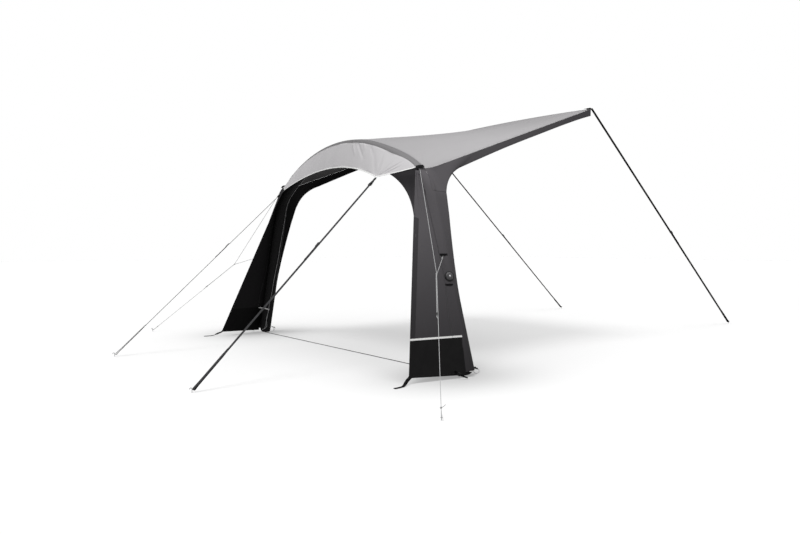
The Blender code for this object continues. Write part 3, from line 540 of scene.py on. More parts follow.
def cloth(name, nu, nv, surface, outside, inside=None, side=1.0, outward=(0, 0, 1),
          thickness=CLOTH, relief=None, leave_out=None, over=None, origin="centre"):
    """A sewn panel: a curved sheet with its own thickness, an outside and an
    inside finish, and UVs in metres along its threads. Returns the object;
    its flat size is kept on it for the declaration."""
    us, vs = as_stops(nu), as_stops(nv)
    pts = drawn_grid(us, vs, surface, side, relief, over)
    cols, rows = len(us) - 1, len(vs) - 1
    bm = bmesh.new()
    bmesh.ops.create_grid(bm, x_segments=cols, y_segments=rows, size=0.5)
    uvl = bm.loops.layers.uv.new("threads")
    across = [[0.0] * (cols + 1) for _ in range(rows + 1)]
    along = [[0.0] * (cols + 1) for _ in range(rows + 1)]
    for j in range(rows + 1):
        for i in range(1, cols + 1):
            across[j][i] = across[j][i - 1] + (pts[j][i] - pts[j][i - 1]).length
        middle = across[j][cols] / 2.0
        for i in range(cols + 1):
            across[j][i] -= middle
    for j in range(1, rows + 1):
        for i in range(cols + 1):
            along[j][i] = along[j - 1][i] + (pts[j][i] - pts[j - 1][i]).length
    index = {}
    for v in bm.verts:
        index[v] = (round((v.co.x + 0.5) * cols), round((v.co.y + 0.5) * rows))
    for f in bm.faces:
        for loop in f.loops:
            i, j = index[loop.vert]
            loop[uvl].uv = (across[j][i], along[j][i])
    gone = []
    if leave_out is not None:
        for f in bm.faces:
            i = min(index[l.vert][0] for l in f.loops)
            j = min(index[l.vert][1] for l in f.loops)
            if leave_out((us[i] + us[i + 1]) / 2.0, (vs[j] + vs[j + 1]) / 2.0):
                gone.append(f)
    total = Vector((0.0, 0.0, 0.0))
    for v in bm.verts:
        i, j = index[v]
        v.co = pts[j][i]
        total += v.co
    centre = total / len(bm.verts)
    if gone:
        bmesh.ops.delete(bm, geom=gone, context="FACES")
    bm.normal_update()
    facing = Vector((0.0, 0.0, 0.0))
    area = 0.0
    for f in bm.faces:
        a = f.calc_area()
        area += a
        facing += f.normal * a
    if facing.dot(turned(outward, side)) < 0.0:
        bmesh.ops.reverse_faces(bm, faces=bm.faces[:])
    for v in bm.verts:
        v.co -= centre
    mesh = bpy.data.meshes.new(name)
    bm.to_mesh(mesh)
    bm.free()
    obj = link(bpy.data.objects.new(name, mesh))
    obj.location = centre
    shell = obj.modifiers.new("cloth", "SOLIDIFY")
    shell.thickness = thickness
    shell.offset = -1.0
    shell.use_even_offset = False
    if inside is not None:
        shell.material_offset = 1
    obj.data.materials.append(outside)
    if inside is not None:
        obj.data.materials.append(inside)
    bpy.context.view_layer.update()
    solid = bpy.data.meshes.new_from_object(obj.evaluated_get(bpy.context.evaluated_depsgraph_get()))
    obj.modifiers.clear()
    obj.data = solid
    solid.name = name
    bpy.data.meshes.remove(mesh)
    solid.shade_smooth()
    solid.set_sharp_from_angle(angle=math.radians(50.0))
    width = max(r[-1] - r[0] for r in across)
    length = max(along[rows])
    obj["flat_w"], obj["flat_l"], obj["flat_a"] = width, length, area
    return obj


def declare(obj, replaces=(), with_pieces=()):
    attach(obj, "root")
    if replaces:
        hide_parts(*replaces)
    for p in with_pieces:
        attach(p, "root")
    w, l, a = obj["flat_w"], obj["flat_l"], obj["flat_a"]
    SHEETS.append((obj.name, round(w, 3), round(l, 3), round(a, 4)))
    return obj


SHEETS = []


def frames_along(pts, up=None, closed=False):
    """Tangent and two crosswise directions at each point, carried along."""
    n = len(pts)
    tangents = []
    for i in range(n):
        if closed:
            t = pts[(i + 1) % n] - pts[i - 1]
        else:
            t = pts[min(i + 1, n - 1)] - pts[max(i - 1, 0)]
        tangents.append(t.normalized())
    ref = Vector(up) if up is not None else Vector((0.0, 0.0, 1.0))
    if abs(tangents[0].dot(ref)) > 0.95:
        ref = Vector((0.0, 1.0, 0.0))
    a = (ref - tangents[0] * ref.dot(tangents[0])).normalized()
    out = []
    for t in tangents:
        a = a - t * a.dot(t)
        a = a.normalized() if a.length > 1e-9 else t.orthogonal().normalized()
        out.append((t, a, t.cross(a)))
    return out


def swept(name, pts, section, mat, side=1.0, across=None, closed=False, caps=True,
          scale=None, section_at=None, angle=45.0):
    """Sweeps a closed section (list of (x, y), x along `across`) along points
    given in the arch frame. UV: round the section and metres along."""
    path = [placed(p, side) for p in pts]
    if across is not None:
        ups = [turned(a, side) for a in across] if isinstance(across, list) else None
        fr = frames_along(path, turned(across, side) if ups is None else ups[0], closed)
        if ups is not None:
            fixed = []
            for (t, _, _), a in zip(fr, ups):
                a = (a - t * a.dot(t)).normalized()
                fixed.append((t, a, t.cross(a)))
            fr = fixed
    else:
        fr = frames_along(path, None, closed)
    n, m = len(path), len(section)
    verts, rings = [], []
    along = [0.0]
    for i in range(1, n):
        along.append(along[-1] + (path[i] - path[i - 1]).length)
    girth = [0.0]
    for k in range(m):
        a, b = section[k], section[(k + 1) % m]
        girth.append(girth[-1] + math.hypot(b[0] - a[0], b[1] - a[1]))
    for i, p in enumerate(path):
        t, a, b = fr[i]
        sec = section_at(i / (n - 1)) if section_at else section
        k = scale(i / (n - 1)) if scale else 1.0
        rings.append([p + a * (x * k) + b * (y * k) for x, y in sec])
    centre = sum(path, Vector((0.0, 0.0, 0.0))) / n
    bm = bmesh.new()
    uvl = bm.loops.layers.uv.new("threads")
    vs = [[bm.verts.new(p - centre) for p in ring] for ring in rings]
    spans = n if closed else n - 1
    width = max(x for x, _ in section) - min(x for x, _ in section)
    for i in range(spans):
        j = (i + 1) % n
        for k in range(m):
            l = (k + 1) % m
            f = bm.faces.new((vs[i][k], vs[i][l], vs[j][l], vs[j][k]))
            ends = along[i], (along[i + 1] if i + 1 < n else along[-1] + (path[0] - path[-1]).length)
            if width > 0.008:       # flat strap: U is the place across it
                us = section[k][0], section[l][0]
            else:
                us = girth[k] / girth[-1], girth[k + 1] / girth[-1]
            for loop, (uu, vv) in zip(f.loops, ((us[0], ends[0]), (us[1], ends[0]),
                                                (us[1], ends[1]), (us[0], ends[1]))):
                loop[uvl].uv = (uu, vv)
    if caps and not closed:
        bm.faces.new(list(reversed(vs[0])))
        bm.faces.new(vs[-1])
    bmesh.ops.recalc_face_normals(bm, faces=bm.faces[:])
    mesh = bpy.data.meshes.new(name)
    bm.to_mesh(mesh)
    bm.free()
    obj = link(bpy.data.objects.new(name, mesh))
    obj.location = centre
    finish_mesh(obj, [mat], angle)
    return obj


def ring_section(radius, sides=12):
    return [(radius * math.cos(math.tau * k / sides), radius * math.sin(math.tau * k / sides))
            for k in range(sides)]


def rod(name, pts, radius, mat, side=1.0, sides=12, closed=False, scale=None):
    return swept(name, pts, ring_section(radius, sides), mat, side, None, closed, True, scale)


def web_section(width=WEB_WIDTH, thick=0.0016):
    w, t, c = width / 2.0, thick / 2.0, thick * 0.42
    return [(w - c, t), (0.0, t), (-w + c, t), (-w, t - c), (-w, -t + c), (-w + c, -t),
            (0.0, -t), (w - c, -t), (w, -t + c), (w, t - c)]


def webbing(name, pts, across, mat, side=1.0, width=WEB_WIDTH, thick=0.0016):
    return swept(name, pts, web_section(width, thick), mat, side, across, angle=60.0)


def rounded(points, radius, steps=4):
    """Replaces the corners of a polyline by short arcs."""
    pts = [Vector(p) for p in points]
    out = [pts[0]]
    for a, b, c in zip(pts, pts[1:], pts[2:]):
        r = min(radius, (b - a).length * 0.45, (c - b).length * 0.45)
        p, q = b + (a - b).normalized() * r, b + (c - b).normalized() * r
        for k in range(steps + 1):
            t = k / steps
            out.append(p * (1 - t) ** 2 + b * 2 * t * (1 - t) + q * t * t)
    out.append(pts[-1])
    return out


def dense(points, step=0.02):
    out = []
    for a, b in zip(points, points[1:]):
        n = max(1, int((Vector(b) - Vector(a)).length / step))
        out += [mix(a, b, i / n) for i in range(n)]
    return out + [Vector(points[-1])]


def rolled(points, flat, steep, low, high):
    """Direction across a strap for each point: lying flat below the height
    `low` and turned to `steep` from the height `high` up."""
    return [mix(flat, steep, smooth((p[2] - low) / (high - low))) for p in points]


def joined(name, objs):
    """Joins several meshes into one piece."""
    bm = bmesh.new()
    mats, offset = [], []
    for o in objs:
        base = len(mats)
        for m in o.data.materials:
            if m not in mats:
                mats.append(m)
        temp = o.data.copy()
        temp.transform(o.matrix_basis)
        for poly in temp.polygons:
            m = o.data.materials[poly.material_index] if len(o.data.materials) else None
            poly.material_index = mats.index(m) if m else 0
        bm.from_mesh(temp)
        bpy.data.meshes.remove(temp)
    centre = sum((v.co for v in bm.verts), Vector((0, 0, 0))) / len(bm.verts)
    for v in bm.verts:
        v.co -= centre
    mesh = bpy.data.meshes.new(name)
    bm.to_mesh(mesh)
    bm.free()
    for m in mats:
        mesh.materials.append(m)
    for o in objs:
        old = o.data
        bpy.data.objects.remove(o, do_unlink=True)
        bpy.data.meshes.remove(old)
    obj = link(bpy.data.objects.new(name, mesh))
    obj.location = centre
    return obj


def plate(name, outer, holes, thick, bevel, mat, at, x_dir, z_dir, side=1.0):
    """A moulded plate: flat outline with windows, extruded, edges rounded."""
    curve = bpy.data.curves.new(name, "CURVE")
    curve.dimensions = "2D"
    curve.fill_mode = "BOTH"
    curve.extrude = thick / 2.0 - bevel
    curve.bevel_depth = bevel
    curve.bevel_resolution = 1
    curve.offset = -bevel
    for loop in [outer, *holes]:
        s = curve.splines.new("POLY")
        s.points.add(len(loop) - 1)
        for pt, (x, y) in zip(s.points, loop):
            pt.co = (x, y, 0.0, 1.0)
        s.use_cyclic_u = True
    temp = link(bpy.data.objects.new(name + "_outline", curve))
    bpy.context.view_layer.update()
    mesh = bpy.data.meshes.new_from_object(temp.evaluated_get(bpy.context.evaluated_depsgraph_get()))
    bpy.data.objects.remove(temp, do_unlink=True)
    bm = bmesh.new()
    bm.from_mesh(mesh)
    bmesh.ops.remove_doubles(bm, verts=bm.verts[:], dist=1e-6)
    bmesh.ops.recalc_face_normals(bm, faces=bm.faces[:])
    bm.to_mesh(mesh)
    bm.free()
    obj = link(bpy.data.objects.new(name, mesh))
    x = turned(x_dir, side).normalized()
    z = turned(z_dir, side)
    z = (z - x * z.dot(x)).normalized()
    y = z.cross(x)
    obj.matrix_world = Matrix.Translation(placed(at, side)) @ Matrix((x, y, z)).transposed().to_4x4()
    finish_mesh(obj, [mat], 40.0)
    return obj


def box_outline(w, h, r, steps=4, x0=0.0, y0=0.0):
    pts = []
    for cx, cy, a0 in ((w / 2 - r, h / 2 - r, 0), (-w / 2 + r, h / 2 - r, 90),
                       (-w / 2 + r, -h / 2 + r, 180), (w / 2 - r, -h / 2 + r, 270)):
        for k in range(steps + 1):
            a = math.radians(a0 + 90.0 * k / steps)
            pts.append((x0 + cx + r * math.cos(a), y0 + cy + r * math.sin(a)))
    return pts


def stitches(name, runs, mat, side=1.0, pitch=0.0052, length=0.0036, radius=0.00034):
    """Rows of thread stitches. runs: lists of (point, outward normal)."""
    verts, faces = [], []
    for run in runs:
        pts = [placed(p, side) for p, _ in run]
        nrm = [turned(n, side).normalized() for _, n in run]
        carry = pitch * 0.5
        for i in range(len(pts) - 1):
            a, b = pts[i], pts[i + 1]
            seg = (b - a).length
            if seg < 1e-9:
                continue
            d = (b - a) / seg
            while carry < seg:
                t = carry / seg
                c = a.lerp(b, t)
                n = nrm[i].lerp(nrm[i + 1], t)
                n = (n - d * n.dot(d)).normalized()
                w = d.cross(n)
                base = len(verts)
                h = length / 2.0
                verts.append(c - d * h - n * radius * 0.6)
                for k in (-0.45, 0.45):
                    q = c + d * (h * k * 1.5) + n * radius * 0.35
                    verts.append(q + w * radius)
                    verts.append(q + n * radius)
                    verts.append(q - w * radius)
                    verts.append(q - n * radius * 1.4)
                verts.append(c + d * h - n * radius * 0.6)
                for k in range(4):
                    l = (k + 1) % 4
                    faces.append((base, base + 1 + l, base + 1 + k))
                    faces.append((base + 1 + k, base + 1 + l, base + 5 + l, base + 5 + k))
                    faces.append((base + 9, base + 5 + k, base + 5 + l))
                carry += pitch
            carry -= seg
    centre = sum(verts, Vector((0, 0, 0))) / len(verts)
    mesh = bpy.data.meshes.new(name)
    mesh.from_pydata([v - centre for v in verts], [], faces)
    uv = mesh.uv_layers.new(name="threads")
    for poly in mesh.polygons:
        for li in poly.loop_indices:
            co = mesh.vertices[mesh.loops[li].vertex_index].co
            uv.data[li].uv = (co.x * 60.0, co.y)
    bm = bmesh.new()
    bm.from_mesh(mesh)
    bmesh.ops.recalc_face_normals(bm, faces=bm.faces[:])
    bm.to_mesh(mesh)
    bm.free()
    obj = link(bpy.data.objects.new(name, mesh))
    obj.location = centre
    finish_mesh(obj, [mat], 80.0)
    return obj


# --------------------------------------------------------------------------
# Camera, floor and light
# --------------------------------------------------------------------------
view = bpy.data.cameras.new("view")
view.sensor_width = 36.0
view.lens = 29.33
view.clip_end = 200.0
eye = link(bpy.data.objects.new("view", view))
eye.location = (5.119, -4.972, 0.962)
YAW, PITCH = math.radians(38.55), math.radians(1.75)
gaze = Vector((-math.cos(YAW) * math.cos(PITCH), math.sin(YAW) * math.cos(PITCH), -math.sin(PITCH)))
eye.rotation_euler = gaze.to_track_quat("-Z", "Y").to_euler()
bpy.context.scene.camera = eye
bpy.context.scene.view_settings.view_transform = "Standard"

KEY_ENERGY = 1.55
# strengths of the shadow painted on the floor under the canopy and round each foot
PAINTED_SHADOW_UNDER, PAINTED_SHADOW_FOOT = 0.20, 0.31
KEY_TRAVEL = (-0.10, 0.45, -0.88)
sky = bpy.data.worlds.new("studio")
sky.use_nodes = True
sky.node_tree.nodes["Background"].inputs["Color"].default_value = (1.0, 1.0, 1.0, 1.0)
bpy.context.scene.world = sky
SKY_HORIZON, SKY_TOP, SKY_BELOW, SKY_FRONT = 0.36, 0.60, 0.20, 0.30


def sky_math(op, a, b):
    node = sky.node_tree.nodes.new("ShaderNodeMath")
    node.operation = op
    for socket, value in zip(node.inputs, (a, b)):
        if isinstance(value, float):
            socket.default_value = value
        else:
            sky.node_tree.links.new(value, socket)
    return node.outputs[0]


# soft studio surround: brighter overhead and towards the front, dim below,
# and plain white where it is seen as the backdrop
towards = sky.node_tree.nodes.new("ShaderNodeSeparateXYZ")
sky.node_tree.links.new(sky.node_tree.nodes.new("ShaderNodeTexCoord").outputs["Generated"], towards.inputs[0])
above = sky_math("MAXIMUM", towards.outputs[2], 0.0)
under = sky_math("GREATER_THAN", 0.0, towards.outputs[2])
front_side = sky_math("MAXIMUM", sky_math("MULTIPLY", towards.outputs[1], -1.0), 0.0)
glow = sky_math("ADD", sky_math("MULTIPLY", above, SKY_TOP - SKY_HORIZON),
                sky_math("MULTIPLY", front_side, SKY_FRONT))
glow = sky_math("MULTIPLY", sky_math("ADD", glow, SKY_HORIZON), sky_math("SUBTRACT", 1.0, under))
glow = sky_math("ADD", glow, sky_math("MULTIPLY", under, SKY_BELOW))
seen = sky.node_tree.nodes.new("ShaderNodeLightPath").outputs["Is Camera Ray"]
glow = sky_math("ADD", sky_math("MULTIPLY", glow, sky_math("SUBTRACT", 1.0, seen)), seen)
sky.node_tree.links.new(glow, sky.node_tree.nodes["Background"].inputs["Strength"])

key_data = bpy.data.lights.new("key", "SUN")
key_data.energy = KEY_ENERGY
key_data.angle = math.radians(24.0)
key = link(bpy.data.objects.new("key", key_data))
key.rotation_euler = Vector(KEY_TRAVEL).to_track_quat("-Z", "Y").to_euler()

# softbox over the right-hand leg
box_data = bpy.data.lights.new("softbox", "AREA")
box_data.energy = 26.0
box_data.shape = "SQUARE"
box_data.size = 1.3
box = link(bpy.data.objects.new("softbox", box_data))
box.location = placed((2.5, 0.2, 3.2))
box.rotation_euler = (placed((1.35, 0.0, 1.1)) - box.location).to_track_quat("-Z", "Y").to_euler()

paper = Graph("studio_floor", (0.50, 0.50, 0.50), 0.9, specular=0.05)
spot = paper.add("ShaderNodeSeparateXYZ")
paper.wire(paper.where(), spot.inputs[0])


def painted_shadow_pool(x, y, x0, y0, sx, sy):
    """Soft round patch of painted shadow: 1 at its middle, 0 far off."""
    dx = paper.math("DIVIDE", paper.math("SUBTRACT", x, x0), sx)
    dy = paper.math("DIVIDE", paper.math("SUBTRACT", y, y0), sy)
    square = paper.math("ADD", paper.math("MULTIPLY", dx, dx), paper.math("MULTIPLY", dy, dy))
    return paper.math("EXPONENT", paper.math("MULTIPLY", square, -1.0))


# painted shadow: the paper's colour and its glow are made greyer under the canopy and round each foot
grey = paper.math("MULTIPLY", painted_shadow_pool(spot.outputs[0], spot.outputs[1], 0.30, 0.45 - Y_MID, 1.75, 1.35), PAINTED_SHADOW_UNDER)
feet = paper.math("MULTIPLY", painted_shadow_pool(paper.math("ABSOLUTE", spot.outputs[0]), spot.outputs[1], 1.62, -0.10 - Y_MID, 0.46, 0.62), PAINTED_SHADOW_FOOT)
after_painted_shadow = paper.math("SUBTRACT", 1.0, paper.math("ADD", grey, feet))
paper.shade(paper.noise(paper.where(), 0.6, 3.0), 0.992, 1.008, after_painted_shadow)
paper.shader.inputs["Emission Color"].default_value = (1.0, 1.0, 1.0, 1.0)
paper.wire(paper.math("MULTIPLY", after_painted_shadow, 0.50), paper.shader.inputs["Emission Strength"])
mesh = bpy.data.meshes.new("studio_floor")
mesh.from_pydata([(-45, -45, -0.0005), (45, -45, -0.0005), (45, 45, -0.0005), (-45, 45, -0.0005)], [], [(0, 1, 2, 3)])
floor = link(bpy.data.objects.new("studio_floor", mesh))
mesh.materials.append(paper.mat)
floor.visible_diffuse = False          # the bounce comes from the surround's lower half


# --------------------------------------------------------------------------
# Beam: a laced sleeve of dark cloth with a zip on its inner side
# --------------------------------------------------------------------------
SLEEVE_R = 0.0566
OUT_OF = []                # outward direction in the arch plane along the beam
for i, p in enumerate(BEAM_PATH):
    a = BEAM_PATH[max(i - 1, 1) if i > 1 else 1]
    b = BEAM_PATH[min(max(i + 1, 2), len(BEAM_PATH) - 2)]
    t = (b - a).normalized()
    OUT_OF.append(Vector((t.z, 0.0, -t.x)))
LENGTHS = [0.0]
for a, b in zip(BEAM_PATH, BEAM_PATH[1:]):
    LENGTHS.append(LENGTHS[-1] + (b - a).length)
BEAM_LENGTH = LENGTHS[-1]


def on_beam(dist, phi, radius):
    """Point on a tube round the beam: phi 0 faces outwards, 90 the rail side."""
    dist = clamp(dist, 0.0, BEAM_LENGTH)
    k = 0
    while k < len(LENGTHS) - 2 and LENGTHS[k + 1] < dist:
        k += 1
    t = (dist - LENGTHS[k]) / (LENGTHS[k + 1] - LENGTHS[k])
    c = BEAM_PATH[k].lerp(BEAM_PATH[k + 1], t)
    n = OUT_OF[k].lerp(OUT_OF[k + 1], t).normalized()
    return c + n * (radius * math.cos(phi)) + Vector((0.0, radius * math.sin(phi), 0.0))


ZIP_STOPS = ((0.0, 218.0), (0.25, 204.0), (0.55, 191.0), (0.98, 172.0), (1.35, 158.0),
             (1.70, 152.0), (2.15, 158.0), (2.60, 166.0), (4.0, 170.0))


def zip_angle(dist):
    d = min(dist, BEAM_LENGTH - dist)
    for (a, pa), (b, pb) in zip(ZIP_STOPS, ZIP_STOPS[1:]):
        if d <= b:
            return math.radians(lerp(pa, pb, smooth((d - a) / (b - a))))
    return math.radians(ZIP_STOPS[-1][1])


def sleeve_radius(dist, phi):
    d = min(dist, BEAM_LENGTH - dist)
    foot = math.sqrt(max(0.0, 1.0 - max(0.0, 1.0 - d / 0.036) ** 2.4))
    bend = bump(d, 1.60, 0.36) * smooth(-math.cos(phi) * 0.9 + 0.25)
    ripple = math.sin(d * math.tau / 0.031 + 1.4 * math.sin(d * 9.0)) * 0.0011 * bend
    soft = rough(d * 7.0, math.cos(phi) * 1.3, math.sin(phi) * 1.3) * 0.0007
    away = abs((phi - zip_angle(dist) + math.pi) % math.tau - math.pi)
    tuck = -0.0010 * math.exp(-(away / 0.16) ** 2)
    return (SLEEVE_R + ripple + soft + tuck) * lerp(0.30, 1.0, foot)


def sleeve_surface(u, v):
    dist = v * BEAM_LENGTH
    phi = zip_angle(dist) + math.tau * lerp(0.0015, 0.9985, u)
    p = on_beam(dist, phi, sleeve_radius(dist, phi))
    p.z = max(p.z, 0.00195 + 0.15 * p.z)        # flattened where it stands on the ground
    return p


foot_stops = [0.0, 0.0012, 0.0036, 0.007, 0.012, 0.018, 0.026, 0.036]
dists = foot_stops + [lerp(0.036, BEAM_LENGTH - 0.036, i / 230.0) for i in range(1, 230)] \
    + [BEAM_LENGTH - d for d in reversed(foot_stops)]
sleeve = cloth("air_beam_sleeve", 36, [d / BEAM_LENGTH for d in dists], sleeve_surface, SLEEVE,
               outward=(0, 0, 1), thickness=0.0008)


def zip_strip(u, v):
    dist = lerp(0.045, BEAM_LENGTH - 0.045, v)
    phi = zip_angle(dist) + (u - 0.5) * (0.020 / SLEEVE_R)
    return on_beam(dist, phi, SLEEVE_R + 0.0012)


zip_tape = cloth("beam_zip_tape", 4, 200, zip_strip, BLACK_WEB, thickness=0.0006, outward=(0, 0, -1))
coil = rod("beam_zip_coil",
           [on_beam(d, zip_angle(d), SLEEVE_R + 0.0018)
            for d in [lerp(0.05, BEAM_LENGTH - 0.05, i / 330.0) for i in range(331)]],
           0.0023, COIL, sides=8)
puller = plate("beam_zip_puller", box_outline(0.0075, 0.026, 0.003), [box_outline(0.003, 0.007, 0.0012, 3, 0, -0.006)],
               0.0020, 0.0005, STEEL, on_beam(0.075, zip_angle(0.075), SLEEVE_R + 0.0045),
               (0.0, 1.0, 0.0), on_beam(0.075, zip_angle(0.075), 1.0) - on_beam(0.075, zip_angle(0.075), 0.0))
declare(sleeve, ("air_beam",), [zip_tape, coil, puller])


# --------------------------------------------------------------------------
# Roof, band and visor
# --------------------------------------------------------------------------
TUBE = SLEEVE_RADIUS + FABRIC      # outside of the cloth drawn over the beam


def band_front(x):
    return -0.053 + 0.022 * smooth((abs(x) - 0.78) / 0.26)


def band_rear(x):
    return -0.010 + 0.041 * smooth((abs(x) - 0.56) / 0.50)


def roof_inner(s):
    return 1.0 - abs(s) ** 12


def roof_arc(s):
    return arch_z(SHOULDER_X * s) - SHOULDER_Z + ROOF_TUCK * roof_inner(s)


def roof_slope(s):
    """Rise of the roof towards the rail where it leaves the arch."""
    return ((RAIL_HEIGHT - SHOULDER_Z + ROOF_TUCK - 1.4 * roof_arc(s) + ROOF_BOW * (1.0 - s * s)) / ROOF_DEPTH
            - (1.0 - roof_inner(s)) * 2.0 * ROOF_TUCK / 0.17)


def over_arch(s, y, sink=0.0):
    """Cloth over the arch: round the beam in front, and leaving it at a
    tangent towards the roof behind."""
    a = math.asin(SHOULDER_X * s / ARCH_RADIUS)
    slope = math.atan(roof_slope(s) * math.cos(a))
    if y <= -TUBE * math.sin(slope):
        rise = math.sqrt(TUBE ** 2 - y * y) - TUBE
    else:
        rise = math.tan(slope) * y + TUBE * (1.0 / math.cos(slope) - 1.0)
    r = ARCH_RADIUS + rise - sink
    return Vector((r * math.sin(a), y, ARCH_CENTRE_Z + r * math.cos(a)))


def roof_start(s):
    """The roof's front edge lies 6 mm under the band's rear edge."""
    return band_rear(SHOULDER_X * s) - 0.006


def roof_surface(u, v):
    s = 2.0 * u - 1.0
    y = lerp(roof_start(s), ROOF_DEPTH - 0.004, v)
    t = y / ROOF_DEPTH
    x = roof_edge(max(t, 0.0)).x * s * 0.9985
    inner = roof_inner(s)
    a = math.asin(SHOULDER_X * s / ARCH_RADIUS)
    slope = math.atan(roof_slope(s) * math.cos(a))
    lift = TUBE * (1.0 / math.cos(slope) - 1.0) / math.cos(a)
    z = (edge_line(t) + edge_lift(t) * (1.0 - inner) + roof_arc(s) * (1.0 - t) ** 1.4
         + lift * max(0.0, 1.0 - y / 0.25) ** 2 + ROOF_BOW * (1.0 - s * s) * t)
    if y < -TUBE * math.sin(slope):
        z = min(z, over_arch(s, y).z)
    z -= 0.0014 * smooth((band_rear(SHOULDER_X * s) + 0.0085 - y) / 0.006)
    return Vector((x, y, z))


def fan(p, corner, reach, count, height, seed):
    """Tension folds that spread over the cloth from a loaded corner."""
    dx, dy = corner[0] - abs(p.x), p.y - corner[1]
    r = math.hypot(dx, dy)
    if r < 0.01:
        return 0.0
    a = math.atan2(dy, dx)
    a += 0.10 * rough(r * 5.0, seed)
    ridge = math.sin(a * count + seed) + 0.5 * math.sin(a * count * 1.7 + seed * 2.3)
    return height * ridge * smooth(r / 0.10) * math.exp(-(r / reach) ** 1.3)


def roof_folds(u, v, p):
    s = 2.0 * u - 1.0
    edge = smooth((1.0 - abs(s)) / 0.14)
    front = smooth((p.y - 0.045) / 0.32)
    seam = smooth((p.y - band_rear(SHOULDER_X * s)) / 0.03)
    rear = smooth((ROOF_DEPTH - p.y) / 0.16)
    seed = 0.7 if p.x > 0 else 2.9
    drift = 0.05 * rough(p.y * 1.1, 8.3) + 0.10 * (p.y / ROOF_DEPTH) * s
    long = (rough((p.x + drift) * 5.6, p.y * 0.75, 1.7) * 0.0085
            + rough((p.x + drift) * 11.0, p.y * 1.3, 5.2) * 0.0030)
    h = long * edge * front * rear
    h += fan(p, (SHOULDER_X + 0.02, 0.02), 0.42, 15.0, 0.0030, seed) * edge * seam
    h += fan(Vector((p.x, ROOF_DEPTH - p.y, 0.0)), (RAIL_X + 0.01, -0.01), 0.50, 13.0, 0.0034, seed + 1.0) * edge * rear
    h += 0.0011 * math.sin(p.x * 95.0 + 3.0 * rough(p.x * 3.0, 1.0)) * math.exp(-((p.y - 0.05) / 0.05) ** 2) * edge * seam
    return h


roof = cloth("roof_sheet", 190, stops((0.012, 9), (0.05, 9), (0.95, 104), (1.0, 6)), roof_surface, ROOF, ROOF_IN,
             outward=(0, 0, 1), relief=roof_folds, over=SLEEVE_RADIUS)
UP = (0.0, 0.0, 1.0)


def line_on(surface, fixed, along_u=True, t0=0.0, t1=1.0, n=80, lift=0.0003, over=None,
            outward=UP, relief=None):
    """A sewing line on a surface: points with their outward normals."""
    out, e, way = [], 1e-3, Vector(outward)

    def at(u, v):
        p = surface(clamp(u), clamp(v))
        return drape(p, over) if over else p

    for i in range(n + 1):
        t = lerp(t0, t1, i / n)
        here = fixed(t) if callable(fixed) else fixed
        u, v = (t, here) if along_u else (here, t)
        p = at(u, v)
        nrm = (at(u + e, v) - at(u - e, v)).cross(at(u, v + e) - at(u, v - e))
        nrm = nrm.normalized() if nrm.length > 0.0 else way.normalized()
        if nrm.dot(way) < 0.0:
            nrm = -nrm
        out.append((p + nrm * (lift + (relief(u, v, p) if relief else 0.0)), nrm))
    return out


def roof_v(y, u=0.5):
    start = roof_start(2.0 * u - 1.0)
    return (y - start) / (ROOF_DEPTH - 0.004 - start)


def beside_band(off):
    return lambda u: roof_v(band_rear(SHOULDER_X * (2.0 * u - 1.0)) + off, u)


def before_rail(off):
    return lambda u: roof_v(ROOF_DEPTH - off, u)


roof_runs = [line_on(roof_surface, beside_band(off), True, 0.01, 0.99, 130, over=SLEEVE_RADIUS, relief=roof_folds)
             for off in (0.0065, 0.0115)]
roof_runs += [line_on(roof_surface, before_rail(d), True, 0.004, 0.996, 130, relief=roof_folds)
              for d in (0.010, 0.036)]
roof_runs += [line_on(roof_surface, u, False, 0.03, 0.985, 130, relief=roof_folds)
              for u in (0.0035, 0.0075, 0.9925, 0.9965)]
roof_thread = stitches("roof_stitching", roof_runs, THREAD)
# rear hem: the cloth is turned under and sewn
def roof_hem_surface(u, v):
    across = lerp(0.003, 0.997, u)
    p = roof_surface(across, lerp(roof_v(ROOF_DEPTH - 0.040, across), 0.9985, v))
    return p + Vector((0.0, 0.0, -0.0016))


roof_hem = cloth("roof_rear_hem", 90, 3, roof_hem_surface, ROOF_IN, ROOF_IN, outward=(0, 0, 1))
declare(roof, ("roof_panel",), [roof_thread, roof_hem])


def band_surface(u, v):
    s = (2.0 * u - 1.0) * 0.985
    x = SHOULDER_X * s
    return over_arch(s, lerp(band_front(x) - 0.0015, band_rear(x) + 0.0015, v))


def band_folds(u, v, p):
    edge = smooth(min(v, 1.0 - v) / 0.25)
    ends = 1.0 + 1.6 * math.exp(-(min(u, 1.0 - u) / 0.07) ** 2)
    return (0.0006 * math.sin(u * 610.0 + 5.0 * rough(u * 30.0, v * 2.0)) * edge
            * (0.35 + 0.65 * abs(rough(u * 22.0, 4.0))) * ends)


band = cloth("arch_band_sheet", 300, 10, band_surface, BAND, ROOF_IN, outward=(0, 0, 1), relief=band_folds)
band_runs = [line_on(band_surface, v, True, 0.004, 0.996, 200, outward=UP) for v in (0.055, 0.13, 0.87, 0.945)]
band_thread = stitches("arch_band_stitching", band_runs, THREAD)
declare(band, ("arch_band",), [band_thread])


def visor_hem_point(s):
    a = abs(s)
    sign = 1.0 if s >= 0 else -1.0
    knee = VISOR_CORNER[0] / SHOULDER_X
    if a <= knee:
        x = VISOR_CORNER[0] * a / knee
        k = (a / knee) ** 2
        y = lerp(VISOR_MID_Y, VISOR_CORNER[1], k)
        z = lerp(VISOR_MID_Z, VISOR_CORNER[2], k)
    else:
        t = (a - knee) / (1.0 - knee)
        x, y, z = mix(VISOR_CORNER, VISOR_SIDE_END, t)
    return Vector((x * sign, y, z))


VISOR_END = 0.975
VISOR_BELLY = 0.014


def visor_ends(s):
    return over_arch(s, band_front(SHOULDER_X * s) - 0.002), visor_hem_point(s)


